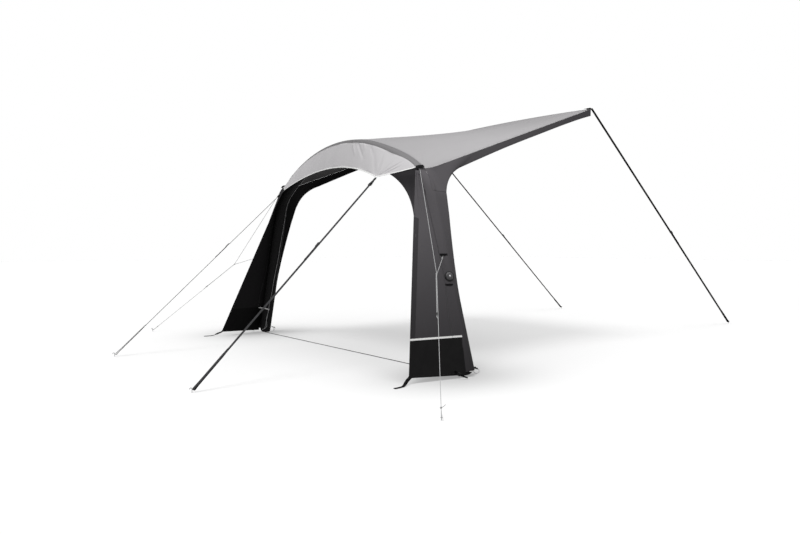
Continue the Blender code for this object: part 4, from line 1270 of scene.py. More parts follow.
def visor_surface(u, v):
    s = (2.0 * u - 1.0) * VISOR_END
    top, low = visor_ends(s)
    length = (top - low).length
    k = lerp(-0.006 / length, 0.995, v)          # the first 6 mm lie under the band
    if k < 0.0:
        return over_arch(s, top.y - k * length * 0.52, 0.0014)
    sunk = 0.0014 * smooth((0.012 - k * length) / 0.006)
    belly = math.sin(math.pi * clamp(k / 0.972)) * VISOR_BELLY * length
    return mix(top, low, k) + Vector((0.0, 0.86, -0.50)) * sunk + Vector((0.0, -0.80, 0.60)) * belly


def visor_at(s, v):
    return visor_surface((s / VISOR_END + 1.0) / 2.0, v)


# (s, v) of both ends, width, height; the sharp ones fan from the guyed corner
CREASES = []
for a, b, width, height in (((0.699, 0.979), (0.861, 0.191), 0.0075, 0.0062),
                            ((0.743, 0.944), (0.864, 0.571), 0.0065, 0.0052),
                            ((0.710, 0.944), (0.800, 0.070), 0.0110, 0.0026),
                            ((0.686, 0.952), (0.639, 0.040), 0.0160, 0.0024),
                            ((0.666, 0.952), (0.509, 0.136), 0.0180, 0.0024),
                            ((0.281, 0.045), (0.444, 0.626), 0.0120, 0.0050),
                            ((0.208, 0.073), (0.310, 0.546), 0.0130, -0.0038),
                            ((0.365, 0.020), (0.417, 0.300), 0.0120, -0.0032),
                            ((0.470, 0.115), (0.540, 0.397), 0.0120, 0.0028)):
    CREASES.append((visor_at(*a), visor_at(*b), width, height))
FAR_CREASES = CREASES[:5] + [(visor_at(*a), visor_at(*b), w, h) for a, b, w, h in
                             (((0.30, 0.12), (0.41, 0.60), 0.014, 0.0030),
                              ((0.18, 0.10), (0.26, 0.52), 0.013, -0.0026))]


def visor_folds(u, v, p):
    q = Vector((abs(p.x), p.y, p.z))
    h = 0.0
    for a, b, width, height in (CREASES if p.x >= 0.0 else FAR_CREASES):
        ab = b - a
        t = (q - a).dot(ab) / ab.dot(ab)
        if -0.15 < t < 1.15:
            d = (q - (a + ab * clamp(t))).length
            fade = smooth((t + 0.02) / 0.08) * smooth((1.10 - t) / 0.55)
            if d < width * 3.0:
                h += height * math.exp(-(d / width) ** 2) * fade
    rim = smooth(v / 0.07) * smooth((0.985 - v) / 0.06)
    wide = rough(p.x * 7.0, v * 0.9, 9.1) * 0.0042 + rough(p.x * 17.0, v * 1.5, 2.2) * 0.0011
    return (h + wide) * rim


visor = cloth("visor_sheet", 400, stops((0.06, 5), (0.95, 40), (1.0, 4)), visor_surface, VISOR, ROOF_IN,
              outward=(0, -1, 1), relief=visor_folds, over=SLEEVE_RADIUS)
visor_runs = [line_on(visor_surface, v, True, 0.005, 0.995, 200, over=SLEEVE_RADIUS, outward=(0, -1, 1),
                      relief=visor_folds) for v in (0.045, 0.065)]
visor_thread = stitches("visor_stitching", visor_runs, THREAD)
declare(visor, ("front_visor",), [visor_thread])


def binding(name, edge, width, gap, mat, side=1.0, thickness=0.0007, cols=None):
    """Tape folded over a raw edge. edge: list of (point on the outer face at
    the edge, outward normal, direction in from the edge)."""
    n = len(edge) - 1
    lift = thickness + 0.00015
    under = gap + 0.00015
    rows = [(width, lift), (width * 0.5, lift * 1.15), (0.0012, lift)]
    mid = (lift - under) / 2.0
    r = (lift + under) / 2.0
    for k in range(1, 6):
        a = math.pi * k / 6.0
        rows.append((-0.0016 * math.sin(a), mid + r * math.cos(a)))
    rows += [(0.0012, -under), (width * 0.5, -under * 1.1), (width, -under)]

    def surface(u, v):
        i = min(int(u * n), n - 1)
        t = u * n - i
        p = edge[i][0].lerp(edge[i + 1][0], t)
        nn = edge[i][1].lerp(edge[i + 1][1], t).normalized()
        w = edge[i][2].lerp(edge[i + 1][2], t).normalized()
        j = v * (len(rows) - 1)
        k = min(int(j + 1e-6), len(rows) - 2)
        a, b = rows[k], rows[k + 1]
        f = j - k
        return p + w * lerp(a[0], b[0], f) + nn * lerp(a[1], b[1], f)

    out = edge[n // 2][1]
    return cloth(name, n if cols is None else cols, len(rows) - 1, surface, mat, side=side,
                 outward=tuple(-edge[n // 2][2]), thickness=thickness), surface, rows


edge = []
for i in range(241):
    u = i / 240.0
    s = (2.0 * u - 1.0) * VISOR_END
    top, low = visor_ends(s)
    e = 2e-3
    along = visor_hem_point(s + e) - visor_hem_point(s - e)
    # the cloth arrives at the hem along the belly curve's end slope
    near = visor_surface(u, 0.93)
    w = (near - low).normalized()
    nrm = along.cross(w).normalized()
    if nrm.dot(Vector((0.0, -1.0, 1.0))) < 0.0:
        nrm = -nrm
    edge.append((low - w * 0.002, nrm, w))
visor_tape, tape_surface_fn, tape_rows = binding("visor_binding", edge, 0.0095, CLOTH, WHITE)
tape_line = []
for i in range(201):
    k = i / 200.0 * 240.0
    j = min(int(k), 239)
    p = edge[j][0].lerp(edge[j + 1][0], k - j)
    w = edge[j][2].lerp(edge[j + 1][2], k - j).normalized()
    nn = edge[j][1].lerp(edge[j + 1][1], k - j).normalized()
    tape_line.append((p + w * 0.0072 + nn * 0.0011, nn))
visor_tape_thread = stitches("visor_binding_stitching", [tape_line], THREAD)
declare(visor_tape, ("visor_hem",), [visor_tape_thread])


# --------------------------------------------------------------------------
# Legs
# --------------------------------------------------------------------------
PANEL_LOW = TAPE_LOW + 0.0015          # the panels run down behind the tape


def front_panel_surface(u, v):
    if v < 0.72:
        z = lerp(PANEL_LOW, LEG_FRONT_TOP[2], v / 0.72)
    else:
        z = lerp(LEG_FRONT_TOP[2], CREASE_TOP[2] - 0.012, (v - 0.72) / 0.28)
    front, seam = leg_front(z), leg_seam(z)
    if z <= LEG_FRONT_TOP[2]:
        return hull(z, lerp(front.y, seam.y - 0.0010, u))
    t = lerp(0.001, (seam - front).length - 0.001, u) / (seam - front).length
    return mix(front, seam, t)


def panel_folds(u, v, p):
    rim = smooth(u / 0.10) * smooth((1.0 - u) / 0.12) * smooth(v / 0.02) * smooth((1.0 - v) / 0.02)
    level = clamp((p.z - 0.3) / 1.28)
    lean = p.y + 0.36 * (p.z - 0.04) * (1.0 - u)       # folds run up the leg
    h = rough(lean * 9.0, p.z * 0.9, 3.3) * 0.0036 * (0.35 + 0.65 * level)
    h += rough(u * 7.0, p.z * 2.2, 6.1) * 0.0030 * smooth((p.z - 1.05) / 0.3)
    h += 0.0020 * math.sin(u * 21.0 + 2.0 * rough(u * 2.0, p.z * 2.0)) * smooth((p.z - 1.25) / 0.2)
    h += rough(p.y * 24.0, p.z * 5.0, 2.0) * 0.0006
    return h * rim


REAR_COLUMNS = (4, 3, 8)
REAR_ROWS = (2, 10, 4)


def split(w, counts):
    n, at = sum(counts), 0
    for i, count in enumerate(counts):
        if w * n <= at + count + 1e-6:
            return i, (w * n - at) / count
        at += count
    return len(counts) - 1, 1.0


def rear_panel_surface(u, v):
    row, k = split(v, REAR_ROWS)
    col, c = split(u, REAR_COLUMNS)
    if row == 0:
        hem = lerp(REAR_HEM[0], REAR_HEM[1], c if col == 2 else 0.0)
        z = lerp(hem, PANEL_LOW, k)
    elif row == 1:
        z = lerp(PANEL_LOW, FLAP_SPLIT_Z, k)
    else:
        z = lerp(FLAP_SPLIT_Z, SEAM_TOP[2] + 0.016, k)
    seam = leg_seam(z)
    if row == 2:
        head = head_line(z)
        across = (head - seam).length
        return mix(seam, head, lerp(0.001, across - 0.001, min(1.0, u * 15.0 / 7.0)) / across)
    cut = skirt_rear(min(z, TAPE_HIGH)) - 0.004
    stops_ = (seam.y + 0.001, max(cut, lerp(cut, -0.036, clamp((z - TAPE_HIGH) / 0.1))),
              HEAD_Y - 0.001, leg_rear(z).y)
    return hull(z, lerp(stops_[col], stops_[col + 1], c))


def rear_panel_gaps(u, v):
    row, col = split(v, REAR_ROWS)[0], split(u, REAR_COLUMNS)[0]
    return (row == 0 and col == 0) or (row == 2 and col == 2)


def rear_folds(u, v, p):
    rim = smooth((1.0 - u) / 0.14) * smooth(u / 0.06) * smooth((p.z - 0.04) / 0.05) * smooth((FLAP_SPLIT_Z - p.z) / 0.03)
    off = smooth((u - 0.30) / 0.25)
    h = rough(u * 6.0, p.z * 1.1, 7.7) * 0.0030 * off
    h += rough(u * 13.0, p.z * 3.0, 1.1) * 0.0010 * off
    return h * rim


def skirt_depth(z, u):
    return lerp(leg_front(z).y, skirt_rear(z), 1.0 - (1.0 - u) ** 2)


def skirt_surface(u, v):
    y = skirt_depth(HEM_FRONT, u)
    hem = lerp(HEM_FRONT, HEM_REAR, (y - LEG_FRONT_BASE[1]) / (SKIRT_REAR_LOW - LEG_FRONT_BASE[1]))
    z = lerp(hem, TAPE_HIGH - 0.0035, v)
    return hull(z, skirt_depth(z, u), 0.0004 + 0.0010 * smooth((z - 0.282) / 0.007))


def skirt_folds(u, v, p):
    rim = smooth(u / 0.04) * smooth((1.0 - u) / 0.05) * smooth((1.0 - v) / 0.10)
    # drag lines run down and forward from under the tape
    along = (p.y + 0.30) * 0.86 - (p.z - 0.16) * 0.52
    h = 0.0026 * rough(along * 24.0, p.z * 1.5, 4.4) * smooth((-0.10 - p.y) / 0.10)
    h += 0.0014 * rough(along * 55.0, p.z * 3.0, 1.9) * smooth((-0.14 - p.y) / 0.10)
    h += 0.0012 * rough(p.y * 14.0, p.z * 8.0, 6.0)
    return h * rim


def tape_surface(u, v):
    z = lerp(TAPE_LOW, TAPE_HIGH, v)
    return hull(z, skirt_depth(z, u), 0.0021)


def gusset_surface(u, v):
    low = Vector(LEG_FRONT_TOP)
    under = Vector((0.0, 0.0022, -0.0030))
    tip = mix(VISOR_CORNER, VISOR_SIDE_END, 0.33) + under
    crease = mix(low, CREASE_TOP, v)
    crease += (Vector(VISOR_SIDE_END) + Vector((-0.002, 0.0, 0.0)) + under - Vector(CREASE_TOP)) * smooth((v - 0.88) / 0.12)
    knee = Vector((1.118, -0.118, 1.436))
    free = (low * (1 - v) ** 2 + knee * 2 * v * (1 - v) + tip * v * v)
    p = mix(crease, free, lerp(0.004, 1.0, u))
    return p + Vector((-0.0015, 0.0030, 0.0)) * (1.0 - smooth((v - 0.9) / 0.1))


def gusset_rows(u, v):
    return gusset_surface(u, lerp(0.012, 1.0, v))


def gusset_folds(u, v, p):
    rim = smooth(u / 0.12) * smooth((1.0 - u) / 0.08) * smooth((1.0 - v) / 0.12)
    return (0.0024 * rough(u * 3.0 + v * 2.0, v * 3.0, 2.7) + 0.0012 * math.sin(u * 9.0 + v * 6.0)) * rim * smooth(v / 0.15)


FLAP_CORNER_CTRL = (1.165, 0.2395, 1.575)
FLAP_JOIN_Y = 0.42
FLAP_NARROW_Y = 1.60
FLAP_COLUMNS = (6, 30)


def flap_height(y):
    if y < FLAP_NARROW_Y:
        taper = 0.0455 * ((FLAP_NARROW_Y - y) / (FLAP_NARROW_Y - FLAP_JOIN_Y)) ** 1.35
        return 0.0405 + taper + 0.014 * smooth((y - 0.8) / 0.8)
    return 0.0545 + 0.0125 * ((y - FLAP_NARROW_Y) / (ROOF_DEPTH - FLAP_NARROW_Y)) ** 3


def flap_under(y):
    return roof_edge(y / ROOF_DEPTH) + Vector((-0.003, 0.0, -flap_height(y)))


def flap_bottom(t):
    corner, join = leg_rear(FLAP_SPLIT_Z), flap_under(FLAP_JOIN_Y)
    turn = 0.28
    if t <= turn:
        k = t / turn
        return corner * (1 - k) ** 2 + Vector(FLAP_CORNER_CTRL) * 2 * k * (1 - k) + join * k * k
    return flap_under(lerp(FLAP_JOIN_Y, ROOF_DEPTH * 0.998, (t - turn) / (1.0 - turn)))


def flap_top(t):
    y = lerp(0.020, 0.110, t + 1.0) if t < 0.0 else lerp(0.110, ROOF_DEPTH * 0.998, t ** 1.12)
    return roof_edge(y / ROOF_DEPTH) + Vector((-0.0015, 0.0, -0.0018))


def flap_surface(u, v):
    """The flap's head laps 6 mm over the leg's panel and over the tongue."""
    part, k = split(u, FLAP_COLUMNS)
    if part == 0:
        low = hull(FLAP_SPLIT_Z - 0.006, lerp(HEAD_Y - 0.006, leg_rear(FLAP_SPLIT_Z).y, k), 0.0014)
        top = flap_top(k - 1.0)
        if k < 0.01:
            z = lerp(FLAP_SPLIT_Z - 0.006, HEAD_TOP[2] + 0.004, v)
            head = head_line(clamp(z, FLAP_SPLIT_Z, HEAD_TOP[2]))
            return head + Vector((0.0010, -0.006 * (1.0 - v), z - head.z))
    else:
        low = flap_bottom(k) + Vector((0.0014, 0.0, -0.006)) * (1.0 - smooth(k / 0.05))
        top = flap_top(k)
    return mix(low, top, v)


def flap_folds(u, v, p):
    rim = smooth(v / 0.15) * smooth((1.0 - v) / 0.15) * smooth(u / 0.05) * smooth((1.0 - u) / 0.04)
    near = smooth((0.55 - p.y) / 0.4)
    h = rough(p.y * 4.0, p.z * 4.0, 3.9) * 0.0050 * near
    h += rough(p.y * 9.0 + p.z * 4.0, p.z * 3.0, 5.9) * 0.0016
    return h * rim


def edge_of(surface, fixed, along_u, t0, t1, n, inward, outward, over=None, relief=None):
    """Edge description of a panel, for a folded binding or a turned hem."""
    out, e, way = [], 1e-3, Vector(outward)

    def at(u, v):
        p = surface(clamp(u), clamp(v))
        return drape(p, over) if over else p

    for i in range(n + 1):
        t = lerp(t0, t1, i / n)
        u, v = (t, fixed) if along_u else (fixed, t)
        p = at(u, v)
        run = at(u + e, v) - at(u - e, v) if along_u else at(u, v + e) - at(u, v - e)
        inn = (at(u, v + inward) if along_u else at(u + inward, v)) - p
        run.normalize()
        w = (inn - run * inn.dot(run)).normalized()
        nrm = run.cross(w).normalized()
        if nrm.dot(way) < 0.0:
            nrm = -nrm
        out.append((p + nrm * (relief(u, v, p) if relief else 0.0), nrm, w))
    return out


def hem_strip(name, edge, width, mat, side=1.0, lift=0.0008, thickness=0.0007, under=False, cols=None):
    """A strip of doubled cloth along an edge, on the outside or the inside."""
    n = len(edge) - 1

    def surface(u, v):
        i = min(int(u * n), n - 1)
        t = u * n - i
        p = edge[i][0].lerp(edge[i + 1][0], t)
        nn = edge[i][1].lerp(edge[i + 1][1], t).normalized()
        w = edge[i][2].lerp(edge[i + 1][2], t).normalized()
        h = lift if not under else -(CLOTH + 0.0002)
        return p + w * lerp(-0.0006, width, v) + nn * h

    mid = edge[n // 2][1]
    return cloth(name, n if cols is None else cols, 3, surface, mat, side=side, outward=tuple(mid),
                 thickness=thickness)


HULL = HULL_RADIUS - 0.0002
for label, side in SIDES:
    # ---- front panel
    front = cloth(f"{label}_leg_front_cloth", 60, stops((0.72, 96), (1.0, 50)), front_panel_surface,
                  WALL, WALL_IN, side, (1, -0.3, 0.3), relief=panel_folds, over=HULL)
    hem_edge = edge_of(front_panel_surface, 0.0, False, 0.0, 0.72, 60, 0.02, (1, -0.3, 0.3), HULL)
    front_hem = hem_strip(f"{label}_leg_front_hem", hem_edge, 0.040, HEM, side)
    runs = [[(p + w * x + nn * 0.0010, nn) for p, nn, w in hem_edge] for x in (0.0030, 0.0375)]
    runs += [line_on(front_panel_surface, 0.985, False, 0.01, 0.985, 110, over=HULL, outward=(1, -0.3, 0.3),
                     relief=panel_folds)]
    runs += [line_on(front_panel_surface, 0.012, False, 0.73, 0.985, 40, over=HULL, outward=(1, -0.3, 0.3),
                     relief=panel_folds)]
    front_thread = stitches(f"{label}_leg_front_stitching", runs, THREAD_DARK, side)
    declare(front, (f"{label}_leg_front_panel",),
            [front_hem, front_thread])

    # ---- rear panel
    rear = cloth(f"{label}_leg_rear_cloth", stops((4 / 15, 9), (7 / 15, 7), (1.0, 20)),
                 stops((2 / 16, 16), (12 / 16, 74), (1.0, 20)), rear_panel_surface, WALL, WALL_IN, side,
                 (1, 0.1, 0.3), relief=rear_folds, leave_out=rear_panel_gaps, over=HULL)
    runs = [line_on(rear_panel_surface, 0.010, False, 0.135, 0.985, 110, over=HULL, outward=(1, 0, 0.3), relief=rear_folds)]
    runs += [line_on(rear_panel_surface, u, False, 0.004, 0.745, 110, over=HULL, outward=(1, 0.1, 0.3),
                     relief=rear_folds) for u in (0.955, 0.990)]
    rear_thread = stitches(f"{label}_leg_rear_stitching", runs, THREAD_DARK, side)
    low_edge = edge_of(rear_panel_surface, 0.0, True, 7 / 15, 0.995, 24, 0.02, (1, 0.1, 0.0), HULL)
    low_hem, _, _ = binding(f"{label}_rear_panel_binding", low_edge, 0.0044, CLOTH, WHITE, side)
    declare(rear, (f"{label}_leg_rear_panel",),
            [rear_thread, low_hem])

    # ---- lapped seam between the two panels, with a cord in it
    seam_pts = [hull(z, leg_seam(z).y, 0.0006) for z in [lerp(PANEL_LOW, 1.355, i / 90.0) for i in range(91)]]
    seam_pts += [leg_seam(z) + Vector((0.0005, 0.0, 0.0003)) for z in [lerp(1.37, SEAM_TOP[2] - 0.010, i / 22.0) for i in range(23)]]
    piping = rod(f"{label}_leg_seam_piping", seam_pts, 0.0017, THREAD_DARK, side, 8)
    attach(piping, "root")

    # ---- skirt and its tape
    skirt = cloth(f"{label}_mud_skirt_cloth", 64, 30, skirt_surface, SKIRT, SKIRT_IN, side, (1, -0.3, 0.3),
                  relief=skirt_folds)
    lower = edge_of(skirt_surface, 0.0, True, 0.0, 1.0, 60, 0.02, (1, -0.3, 0.0))
    skirt_hem = hem_strip(f"{label}_mud_skirt_hem", lower, 0.016, SKIRT, side)
    runs = [[(p + w * 0.0135 + nn * 0.0010, nn) for p, nn, w in lower]]
    skirt_thread = stitches(f"{label}_mud_skirt_stitching", runs, THREAD_DARK, side)
    declare(skirt, (f"{label}_mud_skirt",),
            [skirt_hem, skirt_thread])
    tape = cloth(f"{label}_skirt_tape_cloth", 64, 3, tape_surface, WHITE, WHITE, side, (1, -0.3, 0.3),
                 thickness=0.0007)
    runs = [line_on(tape_surface, v, True, 0.004, 0.996, 70, outward=(1, -0.3, 0.3)) for v in (0.14, 0.86)]
    tape_thread = stitches(f"{label}_skirt_tape_stitching", runs, THREAD, side)
    declare(tape, (f"{label}_skirt_tape",),
            [tape_thread])

    # ---- gusset under the visor
    gusset = cloth(f"{label}_gusset_cloth", 26, 44, gusset_rows, GUSSET, WALL_IN, side, (0.4, -1, 0),
                   relief=gusset_folds, over=SLEEVE_RADIUS)
    free = edge_of(gusset_rows, 1.0, False, 0.0, 1.0, 40, -0.05, (0.4, -1, 0))
    gusset_hem = hem_strip(f"{label}_gusset_hem", free, 0.012, GUSSET, side)
    runs = [[(p + w * x + nn * 0.0010, nn) for p, nn, w in free] for x in (0.0020, 0.0105)]
    gusset_thread = stitches(f"{label}_gusset_stitching", runs, THREAD_DARK, side)
    declare(gusset, (f"{label}_front_gusset",),
            [gusset_hem, gusset_thread])

    # ---- side flap
    flap = cloth(f"{label}_side_flap_cloth", stops((1 / 6, 16), (1.0, 170)), 14, flap_surface, WALL, WALL_IN,
                 side, (1, 0, 0), relief=flap_folds, over=HULL + 0.0014)
    lower = edge_of(flap_surface, 0.0, True, 1 / 6 + 0.001, 1.0, 150, 0.1, (1, 0, 0), HULL + 0.0014)
    flap_hem = hem_strip(f"{label}_side_flap_hem", lower, 0.011, WALL, side)
    runs = [[(p + w * x + nn * 0.0010, nn) for p, nn, w in lower] for x in (0.0020, 0.0095)]
    runs += [line_on(flap_surface, 0.022, True, 0.004, 1 / 6, 30, over=HULL + 0.0014, outward=(1, 0, 0), relief=flap_folds),
             line_on(flap_surface, 0.004, False, 0.02, 0.95, 30, over=HULL + 0.0014, outward=(1, 0, 0), relief=flap_folds)]
    flap_thread = stitches(f"{label}_side_flap_stitching", runs, THREAD_DARK, side)
    declare(flap, (f"{label}_side_flap",), [flap_hem, flap_thread])


# --------------------------------------------------------------------------
# Hardware
# --------------------------------------------------------------------------
def piece(obj, slot, *replaces):
    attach(obj, "root")
    if replaces:
        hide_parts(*replaces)
    return obj


def bar_tack(at, d, across, normal, w, h):
    """Box of stitches that closes a strap loop: runs for stitches()."""
    a, b = Vector(across).normalized() * (w / 2.0), Vector(d).normalized() * (h / 2.0)
    at, normal = Vector(at), Vector(normal).normalized()
    c = [at - a - b, at + a - b, at + a + b, at - a + b]
    box = [(p, normal) for p in (c[0], c[1], c[2], c[3], c[0])]
    return [box, [(c[0], normal), (c[2], normal)], [(c[1], normal), (c[3], normal)]]


def ladder_lock(name, at, d, n, side, width=0.034, length=0.036, thick=0.0040):
    """Three-bar strap adjuster with a finger lip at its lower end."""
    w, l = width, length
    slot = (WEB_WIDTH + 0.0015) / 1.0
    holes = [box_outline(0.0060, slot, 0.0014, 3, l * 0.215), box_outline(0.0060, slot, 0.0014, 3, -l * 0.160)]
    body = plate(name + "_body", box_outline(l, w, 0.0045, 4), holes, thick, 0.0009, PLASTIC, at, d, n, side)
    lip = plate(name + "_lip", box_outline(0.0080, w * 0.94, 0.0030, 4), [], 0.0034, 0.0010, PLASTIC,
                Vector(at) - Vector(d).normalized() * (l * 0.5 + 0.0010) + Vector(n).normalized() * 0.0022, d, n, side)
    return joined(name, [body, lip])


def side_release(name, at, d, n, side, length=0.058, width=0.032, thick=0.0115):
    """Side-release buckle: socket with side windows, and prongs with a bar."""
    d, n = Vector(d).normalized(), Vector(n).normalized()
    at = Vector(at)
    sock = []
    for x, y in ((-0.0255, 0.0128), (-0.0225, 0.0160), (-0.008, 0.0160), (0.0035, 0.0146), (0.0050, 0.0118),
                 (0.0050, -0.0118), (0.0035, -0.0146), (-0.008, -0.0160), (-0.0225, -0.0160), (-0.0255, -0.0128)):
        sock.append((x * length / 0.058, y * width / 0.032))
    sock.reverse()
    windows = [box_outline(0.0130, 0.0042, 0.0014, 3, -0.0055, 0.0108), box_outline(0.0130, 0.0042, 0.0014, 3, -0.0055, -0.0108),
               box_outline(0.0036, 0.0250, 0.0010, 3, -0.0205)]
    top = plate(name + "_top", sock, windows, 0.0026, 0.0008, PLASTIC, at + n * (thick / 2 - 0.0014), d, n, side)
    low = plate(name + "_low", sock, windows, 0.0026, 0.0008, PLASTIC, at - n * (thick / 2 - 0.0014), d, n, side)
    wall = [plate(f"{name}_rib{i}", box_outline(0.0080, 0.0030, 0.0008, 2), [], thick - 0.0036, 0.0005, PLASTIC,
                  at + d * x + d.cross(n) * y, d, n, side)
            for i, (x, y) in enumerate(((-0.0210, 0.0138), (-0.0210, -0.0138), (0.0010, 0.0), (-0.0210, 0.0)))]
    prong = [(0.0280, 0.0135), (0.0255, 0.0160), (0.0065, 0.0150), (0.0020, 0.0148), (-0.0040, 0.0158),
             (-0.0110, 0.0128), (-0.0125, 0.0096), (-0.0070, 0.0102), (0.0030, 0.0104), (0.0045, 0.0040),
             (-0.0060, 0.0028), (-0.0060, -0.0028), (0.0045, -0.0040), (0.0030, -0.0104), (-0.0070, -0.0102),
             (-0.0125, -0.0096), (-0.0110, -0.0128), (-0.0040, -0.0158), (0.0020, -0.0148), (0.0065, -0.0150),
             (0.0255, -0.0160), (0.0280, -0.0135)]
    slots = [box_outline(0.0036, 0.0250, 0.0010, 3, 0.0235), box_outline(0.0036, 0.0250, 0.0010, 3, 0.0150)]
    male = plate(name + "_male", prong, slots, 0.0048, 0.0010, PLASTIC, at, d, n, side)
    return joined(name, [top, low, *wall, male])


def knot(name, at, d, size, radius, mat, side=1.0):
    """Overhand knot pulled tight round a cord."""
    d = Vector(d).normalized()
    a = d.orthogonal().normalized()
    b = d.cross(a)
    pts = []
    for i in range(36):
        t = math.tau * i / 36.0
        x, y, z = math.sin(t) + 2.0 * math.sin(2.0 * t), math.cos(t) - 2.0 * math.cos(2.0 * t), -math.sin(3.0 * t)
        pts.append(Vector(at) + a * (x * size) + b * (y * size) + d * (z * size * 1.7))
    return rod(name, pts, radius, mat, side, 8, closed=True)


def steel_peg(name, at, lean, side):
    """Head of a round steel peg, hooked over away from the canopy."""
    d = Vector((lean[0], lean[1], 0.0)).normalized()
    base = Vector((at[0], at[1], 0.0))
    pts = [base + Vector((0, 0, h)) for h in (0.0002, 0.004, 0.010, 0.017, PEG_RISE - 0.010)]
    for i in range(1, 13):
        a = math.pi * 1.05 * i / 12.0
        pts.append(base + d * (PEG_HOOK / 2.0) * (1.0 - math.cos(a))
                   + Vector((0, 0, PEG_RISE - 0.010 + PEG_HOOK / 2.0 * math.sin(a))))
    return rod(name, pts, 0.0030, STEEL, side, 14, scale=lambda t: 1.0 if t < 0.97 else 0.82)


CORD_R = 0.0019
for label, side in SIDES:
    # ---- front strap
    top = Vector(VISOR_CORNER) + Vector((0.0, -0.003, -0.008))
    foot = Vector((FRONT_PEG[0], FRONT_PEG[1] + 0.009, 0.017))
    length = (foot - top).length
    d = (foot - top).normalized()
    across = Vector((0.971, 0.160, -0.055))
    across = (across - d * across.dot(d)).normalized()
    n = across.cross(d).normalized()
    if n.z < 0.0:
        n = -n

    def at(t, off=0.0):
        return mix(top, foot, t) + n * off

    upper = webbing(f"{label}_front_strap_upper", [at(-0.0015, 0.0012), at(0.006, 0.0016), at(0.0150, 0.0014), at(0.0205, 0.0009)],
                    across, GREY_WEB, side)
    mouth = webbing(f"{label}_front_strap_return", [at(0.0030, -0.0022), at(0.010, -0.0018), at(0.0165, -0.0012), at(0.0205, -0.0009)],
                    across, GREY_WEB, side, 0.0235)
    buckle = side_release(f"{label}_front_side_release", at(0.032), -d, n, side)
    tail_end = 0.365 + 0.075
    line = [at(0.0437, 0.0006), at(0.052, 0.0002)] + [at(lerp(0.06, 0.352, i / 24.0)) for i in range(25)]
    line += [at(0.3565, 0.0010), at(0.3605, 0.0035), at(0.3655, 0.0062), at(0.3705, 0.0035), at(0.3745, 0.0008), at(0.380, 0.0)]
    line += [at(lerp(0.385, 0.835, i / 36.0)) for i in range(37)]
    main = webbing(f"{label}_front_strap_run", line, across, GREY_WEB, side)
    tail = webbing(f"{label}_front_strap_tail",
                   rounded([at(0.3600, 0.0056), at(0.3645, 0.0084), at(0.3700, 0.0070), at(0.3800, 0.0034), at(0.405, 0.0028),
                            at(tail_end - 0.01, 0.0030), at(tail_end, 0.0040)], 0.006, 3), across, GREY_WEB, side, 0.0245)
    loop = rounded([at(0.835), at(0.850, 0.0002), at(0.868, -0.0022), at(0.985, -0.0030), at(0.9985, -0.0060),
                    at(1.0015, 0.0010), at(0.9960, 0.0058), at(0.962, 0.0036), at(0.868, 0.0032), at(0.852, 0.0024), at(0.838, 0.0020)], 0.010, 4)
    eyelet = webbing(f"{label}_front_strap_loop", loop, across, GREY_WEB, side)
    runs = bar_tack(at(0.8455, 0.0030), d, across, n, 0.019, 0.022)
    runs += bar_tack(at(0.0115, 0.0026), d, across, n, 0.018, 0.012)
    tacks = stitches(f"{label}_front_strap_stitching", runs, THREAD_DARK, side, 0.0026, 0.0021)
    piece(main, "grey_webbing", f"{label}_front_strap")
    for o in (upper, mouth, tail, eyelet, tacks):
        piece(o, "grey_webbing")
    piece(buckle, "black_plastic", f"{label}_front_buckle")
    lock = ladder_lock(f"{label}_front_ladder_lock", at(0.3655, 0.0040), d, n, side)
    piece(lock, "black_plastic", f"{label}_front_adjuster")
    piece(steel_peg(f"{label}_front_steel_peg", FRONT_PEG, (0.0, -1.0), side), "peg_steel", f"{label}_front_peg")

    # ---- rear strap
    top = Vector((RAIL_X - 0.006, ROOF_DEPTH + 0.011, RAIL_HEIGHT + 0.008))
    foot = Vector((REAR_PEG[0], REAR_PEG[1] - 0.009, 0.018))
    d = (foot - top).normalized()
    across = Vector((1.0, 0.0, 0.0))
    across = (across - d * across.dot(d)).normalized()
    n = across.cross(d).normalized()
    if n.z < 0.0:
        n = -n
    line = [at(lerp(0.0006, 0.508, i / 40.0)) for i in range(41)]
    line += [at(0.5140, 0.0010), at(0.5165, 0.0035), at(0.5200, 0.0062), at(0.5235, 0.0035), at(0.5265, 0.0008), at(0.531, 0.0)]
    line += [at(lerp(0.536, 0.930, i / 30.0)) for i in range(31)]
    main = webbing(f"{label}_rear_strap_run", line, across, BLACK_WEB, side)
    tail = webbing(f"{label}_rear_strap_tail",
                   rounded([at(0.5165, 0.0056), at(0.5195, 0.0084), at(0.5235, 0.0068), at(0.530, 0.0034), at(0.548, 0.0028),
                            at(0.566, 0.0032), at(0.574, 0.0044)], 0.006, 3), across, BLACK_WEB, side, 0.0245)
    loop = rounded([at(0.930), at(0.938, 0.0002), at(0.948, -0.0022), at(0.992, -0.0030), at(0.9988, -0.0058),
                    at(1.0006, 0.0010), at(0.9980, 0.0056), at(0.985, 0.0036), at(0.948, 0.0032), at(0.940, 0.0024), at(0.932, 0.0020)], 0.010, 4)
    eyelet = webbing(f"{label}_rear_strap_loop", loop, across, BLACK_WEB, side)
    runs = bar_tack(at(0.9355, 0.0030), d, across, n, 0.019, 0.022)
    tacks = stitches(f"{label}_rear_strap_stitching", runs, THREAD_DARK, side, 0.0026, 0.0021)
    piece(main, "black_webbing", f"{label}_rear_strap")
    for o in (tail, eyelet, tacks):
        piece(o, "black_webbing")
    lock = ladder_lock(f"{label}_rear_ladder_lock", at(0.520, 0.0040), d, n, side)
    piece(lock, "black_plastic", f"{label}_rear_adjuster")
    piece(steel_peg(f"{label}_rear_steel_peg", REAR_PEG, (0.0, 1.0), side), "peg_steel", f"{label}_rear_peg")

